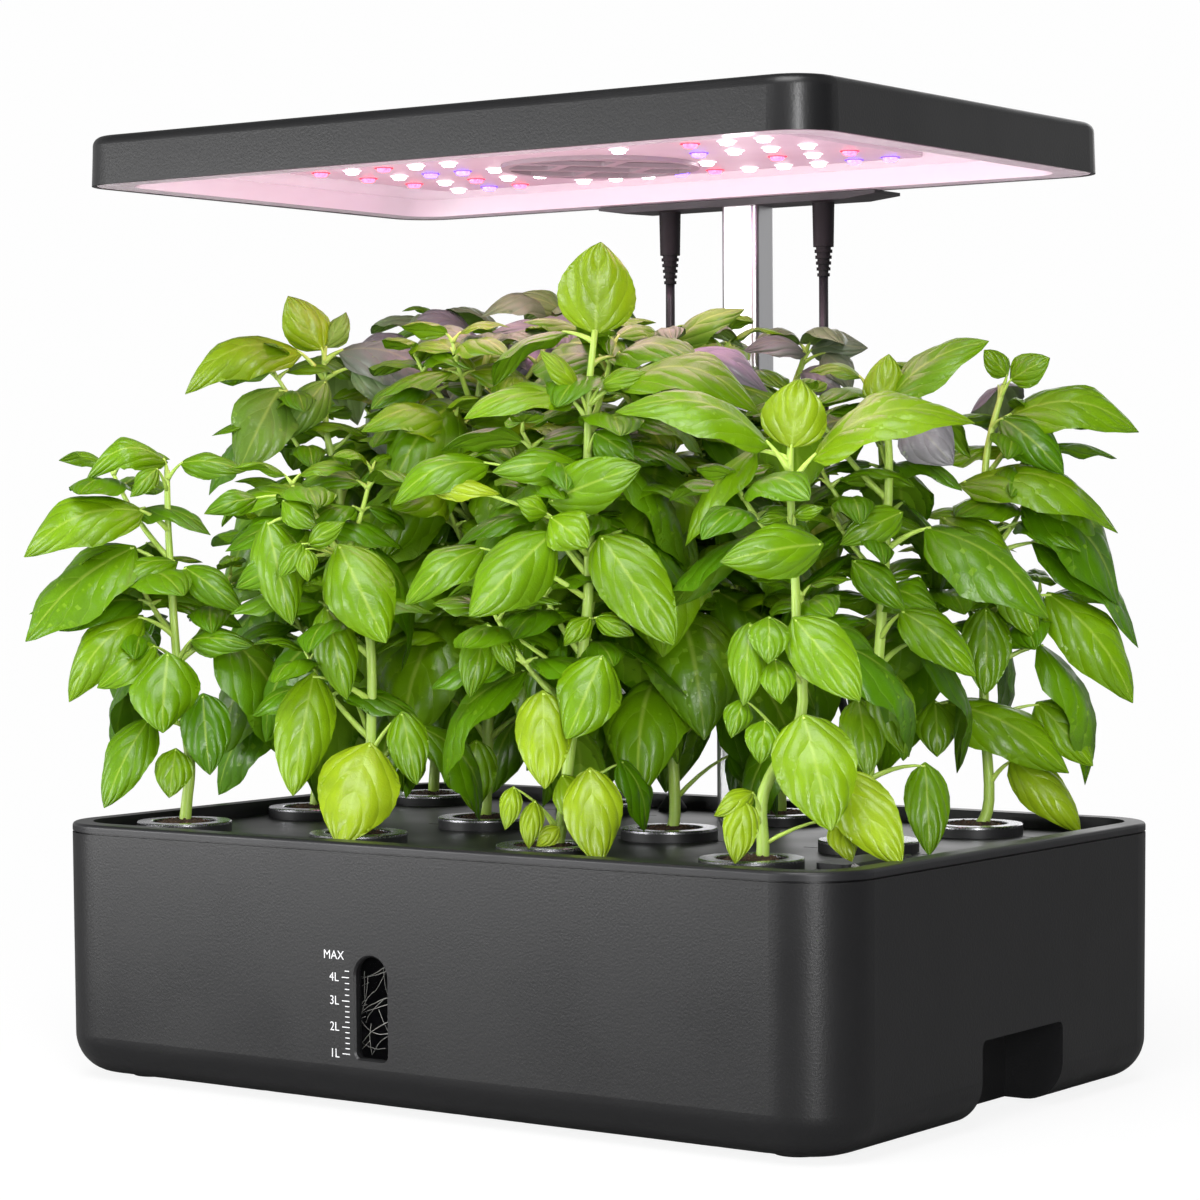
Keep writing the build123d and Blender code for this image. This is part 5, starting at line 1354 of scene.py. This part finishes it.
    # Light that comes through the blade is limier than light off it, but less so where the painted lamp tint
    # is strong
    lime = add_node(tree, "ShaderNodeMath", {0: purple, 1: -0.45, 2: 0.5}, operation="MULTIPLY_ADD")
    inputs = {0: lime, 6: colour, 7: linear("#9CC600")}
    through = add_node(tree, "ShaderNodeMix", inputs, data_type="RGBA").outputs[2]
    glow = add_node(tree, "ShaderNodeBsdfTranslucent", {"Color": through, "Normal": relief})
    both = add_node(tree, "ShaderNodeMixShader", {0: 0.3, 1: surface, 2: glow})
    add_node(tree, "ShaderNodeOutputMaterial", {"Surface": both})
    return material


def stem_finish(settings):
    """Basil stem: juicy light green, with paler lines along it and a soft shine."""
    material, tree, place = new_material("juicy_basil_stem")
    inputs = {"Vector": place, "Scale": (1000 / 1.2, 1000 / 1.2, 1000 / 14.0)}
    stretched = add_node(tree, "ShaderNodeMapping", inputs)
    line = add_node(tree, "ShaderNodeTexNoise", {"Vector": stretched, "Scale": 1.0, "Detail": 2.0})
    tone = add_node(tree, "ShaderNodeVertexColor", layer_name="leaf_tone")
    young = add_node(tree, "ShaderNodeSeparateColor", {0: tone}).outputs[0]
    inputs = {0: young, 6: linear("#6E9A22"), 7: linear(settings.stem)}
    base = add_node(tree, "ShaderNodeMix", inputs, data_type="RGBA").outputs[2]
    pale = add_node(tree, "ShaderNodeMath", {0: line, 1: 0.5}, operation="MULTIPLY")
    inputs = {0: pale, 6: base, 7: linear("#C2D878")}
    colour = add_node(tree, "ShaderNodeMix", inputs, data_type="RGBA").outputs[2]
    relief = add_node(tree, "ShaderNodeBump", {"Height": line, "Strength": 0.6, "Distance": 0.0003})
    surface = add_node(
        tree,
        "ShaderNodeBsdfPrincipled",
        {
            "Base Color": colour,
            "Roughness": 0.4,
            "Normal": relief,
            "Subsurface Weight": 0.2,
            "Subsurface Radius": (0.002, 0.003, 0.001),
            "Subsurface Scale": 0.5,
        },
    )
    add_node(tree, "ShaderNodeOutputMaterial", {"Surface": surface})
    return material


def place_leaf(plant, row, stem, foot):
    """Adds a listed leaf, on a stalk from the nearest part of the stem below it."""
    leaf = Leaf(*row)
    base = spot(leaf.base_u, leaf.base_v, foot, leaf.base_near / 1000)
    tip = spot(leaf.tip_u, leaf.tip_v, foot, leaf.tip_near / 1000)
    away = (Vector(foot) - CAMERA_PLACE).dot(-TOWARD)
    shown = leaf.width * away / PIXELS_PER_RADIAN
    length = (tip - base).length
    width = max(shown, length * 0.5)
    facing = np.arcsin(min(1.0, shown / width * 0.98))
    normal = Vector((0, 0, 1)) * max(np.cos(facing), 0.12) + TOWARD * np.sin(facing)
    drop = 0.006 + 0.25 * (Vector(stem[-1][:2]) - base.xy).length
    reach = np.linalg.norm(stem - np.array(base - Vector((0, 0, drop))), axis=1)
    root = stem[int(np.argmin(reach))]
    plant.leaf(base, tip, normal, width * 1.04, leaf.arch * 0.9, leaf.young, leaf.purple, root, checked=False)


def fill_out(plant, stem, settings, row, fullness, own):
    """Adds leaf pairs and side shoots up a stem; own says that its front has listed leaves."""
    dice = plant.dice
    heights = stem[:, 2]
    low, high = heights[0] + 0.016, heights[-1] - 0.004
    viewer = np.arctan2(TOWARD.y, TOWARD.x)
    start = dice.random() * np.pi
    for pair in range(settings.pairs):
        share = pair / max(1, settings.pairs - 1)
        z = low + (high - low) * share**0.85
        root = stem[int(np.argmin(np.abs(heights - z)))]
        grown = np.sin(np.pi * min(1.0, 0.22 + 0.72 * share)) ** 0.6
        length = settings.leaf_length * (0.45 + 0.6 * grown)
        crowded = 0.45 if share > 0.82 and row > 1 else 1.0
        for half in (0, 1):
            heading = start + pair * np.pi / 2 + half * np.pi + dice.normal(0, 0.2)
            if dice.random() > fullness * crowded:
                continue
            facing = np.cos(heading - viewer)
            # Painted shade: a leaf turned away from the viewer gets a darker tone
            shaded = 0.32 if facing < 0.2 else 0.45
            if 0.1 < share < 0.9 and facing < (0.15 if own else 0.9):
                reach = settings.leaf_length * (0.5 + 0.35 * dice.random())
                small = settings.leaf_length * (0.5 + 0.2 * dice.random())
                grown_shoot(plant, root, heading + 0.5, reach, small, shaded + 0.12)
            if own and facing > 0.3:
                continue
            rise = 0.75 - 0.35 * share + dice.normal(0, 0.1)
            droop = 0.75 + 0.75 * (1 - share) + dice.normal(0, 0.15)
            young = shaded + 0.2 * dice.random() + (0.22 if share > 0.9 else 0.0)
            # Painted light: high leaves of the rear rows get a purple-grey tint that stands in for the grow
            # lamp's light
            purple = 0.4 + 0.6 * dice.random() if z > PAINTED_LAMP_TINT_FROM_Z and row > 1 else 0.0
            stalk = 0.012 + 0.016 * (1 - share)
            grown_leaf(plant, root, heading, length, rise, droop, young, purple, stalk)
    if own:
        return
    for turn in range(4):
        heading = start + turn * np.pi / 2 + 0.4
        size = settings.leaf_length * (0.55 if turn % 2 else 0.4)
        # The top leaves of the rear rows get half of the painted lamp tint
        grown_leaf(plant, stem[-1], heading, size, 0.9, 0.5, 0.58, 0.5 if row > 1 else 0.0, 0.004)


class GARDEN_OT_plants(bpy.types.Operator):
    """Grow the twelve basil plants"""

    bl_idname = "garden.plants"
    bl_label = "Basil plants"

    def execute(self, context):
        """Grows each plant from its pod: stem, listed leaves, then leaf pairs that fill it out."""
        settings = context.scene.garden_plants
        materials = [leaf_finish(settings), stem_finish(settings)]
        for (column, row), pixels in STEMS.items():
            foot = (POD_X[column - 1], POD_Y[row - 1], PLUG_TOP)
            detail = FRONT_LEAF_MESH if row == 1 else REAR_LEAF_MESH
            plant = Plant(seed=100 * column + row, detail=detail)
            stem = [spot(*pixel, foot, 0.0) for pixel in pixels]
            stem[0].z = PLUG_TOP - STEM_SUNK
            stem = smooth_line(stem)
            stem[:, 2] = np.minimum(stem[:, 2], CANOPY_HIGH.z - 0.002)
            plant.stalk(stem, *STEM_RADII, 0.6, sides=8)
            placed = LEAVES.get((column, row), ())
            for leaf in placed:
                place_leaf(plant, leaf, stem, foot)
            fill_out(plant, stem, settings, row, FULLNESS[(column, row)], own=len(placed) > BIG_CANOPY)
            piece = plant.object(f"basil_{column}_{row}", materials)
            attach(piece, "deck")
            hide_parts(f"plant_{column}_{row}")
        return {"FINISHED"}


# ---------------------------------------------------------------- stage
FLOOR_REACH = 6.0
SHADOW_FADES = (0.22, 0.6)  # from the middle of the garden, on the floor
CARD_NEAR, CARD_FAR = (1.25, -0.62), (1.1, 0.62)  # ends of the black card on the floor
CARD_HEIGHT = 1.0
# Where a light stands, the point that it faces, and its width and height
KEY_LIGHT = ((-0.93, -1.2, 0.24), (0.0, 0.0, 0.18), (1.15, 0.44))
TOP_LIGHT = ((0.3, -0.8, 1.5), (0.0, 0.0, 0.2), (1.0, 1.0))
STRIP_LIGHT = ((1.08, -1.18, 0.35), (0.0, 0.0, 0.2), (0.2, 0.9))
BACK_LIGHT = ((-0.5, 1.7, 0.8), (0.0, 0.0, 0.2), (1.2, 0.8))
# Height and size of the grow light's two halves: down onto the plants, and up into the tray
GROW_LIGHT_DOWN = (0.345, (0.2, 0.09))
GROW_LIGHT_UP = (0.322, (0.34, 0.21))
GROW_LIGHT_UP_SHARE = 0.7
GROW_LIGHT_UP_COLOUR = (1.0, 0.45, 0.72)


class GardenStageSettings(bpy.types.PropertyGroup):
    """Backdrop and light."""

    backdrop: FloatProperty(
        name="Backdrop", description="Brightness of the backdrop", default=0.99, min=0, max=1
    )
    surround: FloatProperty(
        name="Surround", description="Strength of the light from all round", default=0.62, min=0
    )
    mirrored: FloatProperty(
        name="Mirrored", description="Brightness of the horizon in reflections", default=0.55, min=0
    )
    key: FloatProperty(name="Key light", description="Power of the front light in watts", default=15.0, min=0)
    top: FloatProperty(name="Top light", description="Power from above in watts", default=25.0, min=0)
    strip: FloatProperty(
        name="Strip light", description="Power of the narrow light in watts", default=17.0, min=0
    )
    back: FloatProperty(name="Back light", description="Power of the rear light in watts", default=5.0, min=0)
    lamp_colour: FloatVectorProperty(
        name="Lamp colour", description="Colour of the grow light", default=(1.0, 0.55, 0.72), subtype="COLOR"
    )
    lamp_power: FloatProperty(
        name="Lamp power", description="Power of the grow light in watts", default=0.25, min=0
    )


def area_light(name, place, target, size, power, colour=(1.0, 1.0, 1.0)):
    """A soft light that faces its target and isn't seen itself."""
    lamp = bpy.data.lights.new(name, "AREA")
    lamp.shape = "RECTANGLE"
    lamp.size, lamp.size_y = size
    lamp.energy = power
    lamp.color = colour
    holder = bpy.data.objects.new(name, lamp)
    bpy.context.scene.collection.objects.link(holder)
    holder.location = place
    holder.rotation_euler = (Vector(target) - Vector(place)).to_track_quat("-Z", "Y").to_euler()
    holder.visible_camera = False
    return holder


def white_room(settings):
    """A world that shows a white backdrop, lights evenly, and fades upwards in reflections."""
    world = bpy.data.worlds.new("white_room")
    world.use_nodes = True
    tree = world.node_tree
    tree.nodes.clear()
    path = add_node(tree, "ShaderNodeLightPath")
    inputs = {0: path.outputs["Is Camera Ray"], 1: path.outputs["Is Transmission Ray"]}
    seen = add_node(tree, "ShaderNodeMath", inputs, operation="MAXIMUM")
    way = add_node(tree, "ShaderNodeTexCoord").outputs["Generated"]
    upward = add_node(tree, "ShaderNodeSeparateXYZ", {0: way}).outputs[2]
    inputs = {"Value": upward, 1: 0.15, 2: 0.8, 3: settings.mirrored, 4: 0.05}
    mirrored = add_node(tree, "ShaderNodeMapRange", inputs)
    inputs = {0: path.outputs["Is Glossy Ray"], 2: settings.surround, 3: mirrored}
    around = add_node(tree, "ShaderNodeMix", inputs)
    strength = add_node(tree, "ShaderNodeMix", {0: seen, 2: around, 3: settings.backdrop})
    light = add_node(tree, "ShaderNodeBackground", {0: WHITE, 1: strength})
    add_node(tree, "ShaderNodeOutputWorld", {0: light})
    return world


def matt_white_paper(settings):
    """Matt white paper: a soft shadow under the garden that fades out into the backdrop."""
    paper, tree, place = new_material("matt_white_paper")
    path = add_node(tree, "ShaderNodeLightPath")
    inputs = {0: path.outputs["Is Camera Ray"], 1: path.outputs["Is Transmission Ray"]}
    seen = add_node(tree, "ShaderNodeMath", inputs, operation="MAXIMUM")
    distance = add_node(tree, "ShaderNodeVectorMath", {0: place}, operation="LENGTH").outputs["Value"]
    inputs = {"Value": distance, 1: SHADOW_FADES[0], 2: SHADOW_FADES[1], 3: 0.88, 4: 1.0}
    fade = add_node(tree, "ShaderNodeMapRange", inputs, interpolation_type="SMOOTHSTEP")
    fibre = add_node(tree, "ShaderNodeTexNoise", {"Vector": place, "Scale": 1000 / 2.0, "Detail": 3.0})
    inputs = {0: fibre, 6: linear("#E8E8E8"), 7: linear("#EEEEEE")}
    tone = add_node(tree, "ShaderNodeMix", inputs, data_type="RGBA").outputs[2]
    inputs = {0: path.outputs["Is Glossy Ray"], 6: tone, 7: linear("#747474")}
    mirrored = add_node(tree, "ShaderNodeMix", inputs, data_type="RGBA").outputs[2]
    matt = add_node(tree, "ShaderNodeBsdfDiffuse", {"Color": mirrored})
    bright = add_node(tree, "ShaderNodeEmission", {0: WHITE, 1: settings.backdrop})
    share = add_node(tree, "ShaderNodeMath", {0: seen, 1: fade}, operation="MULTIPLY")
    both = add_node(tree, "ShaderNodeMixShader", {0: share, 1: matt, 2: bright})
    add_node(tree, "ShaderNodeOutputMaterial", {"Surface": both})
    return paper


def black_card():
    """Black card: a dark edge along the upright corners' right side."""
    card, tree, place = new_material("black_card")
    fibre = add_node(tree, "ShaderNodeTexNoise", {"Vector": place, "Scale": 1000 / 3.0})
    inputs = {0: fibre, 6: linear("#101010"), 7: linear("#161616")}
    tone = add_node(tree, "ShaderNodeMix", inputs, data_type="RGBA").outputs[2]
    matt = add_node(tree, "ShaderNodeBsdfDiffuse", {"Color": tone})
    add_node(tree, "ShaderNodeOutputMaterial", {"Surface": matt})
    return card


class GARDEN_OT_stage(bpy.types.Operator):
    """Set up the floor, the light and the camera"""

    bl_idname = "garden.stage"
    bl_label = "Stage"

    def execute(self, context):
        """Makes the white room, its lights and the camera."""
        settings = context.scene.garden_stage
        scene = context.scene
        scene.view_settings.view_transform = "Standard"
        scene.world = white_room(settings)

        corners = [(x * FLOOR_REACH, y * FLOOR_REACH, 0.0) for x, y in ((-1, -1), (1, -1), (1, 1), (-1, 1))]
        floor = mesh_piece("floor", corners, [(0, 1, 2, 3)], [matt_white_paper(settings)], smooth=False)
        corners = [(*CARD_NEAR, 0.0), (*CARD_FAR, 0.0), (*CARD_FAR, CARD_HEIGHT), (*CARD_NEAR, CARD_HEIGHT)]
        card = mesh_piece("side_card", corners, [(0, 1, 2, 3)], [black_card()], smooth=False)
        card.visible_camera = False

        area_light("key_light", *KEY_LIGHT, settings.key)
        area_light("top_light", *TOP_LIGHT, settings.top)
        area_light("strip_light", *STRIP_LIGHT, settings.strip)
        area_light("back_light", *BACK_LIGHT, settings.back)
        middle = (BOARD_LOW.x + BOARD_HIGH.x) / 2, (BOARD_LOW.y + BOARD_HIGH.y) / 2
        height, size = GROW_LIGHT_DOWN
        place, target = (*middle, height), (*middle, 0.0)
        area_light("grow_light_down", place, target, size, settings.lamp_power, settings.lamp_colour)
        height, size = GROW_LIGHT_UP
        place, target = (*middle, height), (*middle, 1.0)
        power = settings.lamp_power * GROW_LIGHT_UP_SHARE
        area_light("grow_light_up", place, target, size, power, GROW_LIGHT_UP_COLOUR)

        camera = bpy.data.cameras.new("camera")
        camera.lens = CAMERA_LENS
        camera.sensor_width = SENSOR_WIDTH
        camera.clip_start = 0.05
        holder = bpy.data.objects.new("camera", camera)
        scene.collection.objects.link(holder)
        holder.matrix_world = Matrix.Translation(CAMERA_PLACE) @ camera_turn.to_4x4()
        scene.camera = holder
        return {"FINISHED"}


# ---------------------------------------------------------------- add-on
class GARDEN_PT_panel(bpy.types.Panel):
    """The garden's pieces in the sidebar"""

    bl_label = "Countertop garden"
    bl_space_type = "VIEW_3D"
    bl_region_type = "UI"
    bl_category = "Garden"

    def draw(self, context):
        """Lists each operator with its settings."""
        for operator, group in STEPS:
            self.layout.operator(operator.bl_idname)
            if group:
                for name in SETTINGS[group].__annotations__:
                    self.layout.prop(getattr(context.scene, group), name)


STEPS = (
    (GARDEN_OT_leads, "garden_leads"),
    (GARDEN_OT_finishes, "garden_body"),
    (GARDEN_OT_diodes, "garden_diodes"),
    (GARDEN_OT_level_window, "garden_window"),
    (GARDEN_OT_peat, "garden_peat"),
    (GARDEN_OT_plants, "garden_plants"),
    (GARDEN_OT_stage, "garden_stage"),
)
SETTINGS = {
    "garden_leads": GardenLeadSettings,
    "garden_body": GardenBodySettings,
    "garden_diodes": GardenDiodeSettings,
    "garden_window": GardenWindowSettings,
    "garden_peat": GardenPeatSettings,
    "garden_plants": GardenPlantSettings,
    "garden_stage": GardenStageSettings,
}


def register():
    """Registers the settings, the operators and the panel."""
    for name, group in SETTINGS.items():
        bpy.utils.register_class(group)
        setattr(bpy.types.Scene, name, PointerProperty(type=group))
    for operator, _ in STEPS:
        bpy.utils.register_class(operator)
    bpy.utils.register_class(GARDEN_PT_panel)


def unregister():
    """Takes everything off again."""
    bpy.utils.unregister_class(GARDEN_PT_panel)
    for operator, _ in STEPS:
        bpy.utils.unregister_class(operator)
    for name, group in SETTINGS.items():
        delattr(bpy.types.Scene, name)
        bpy.utils.unregister_class(group)


def main():
    """Makes the garden."""
    register()
    bpy.ops.garden.leads()
    bpy.ops.garden.finishes()
    bpy.ops.garden.diodes()
    bpy.ops.garden.level_window()
    bpy.ops.garden.peat()
    bpy.ops.garden.plants()
    bpy.ops.garden.stage()


if __name__ == "__main__":
    main()
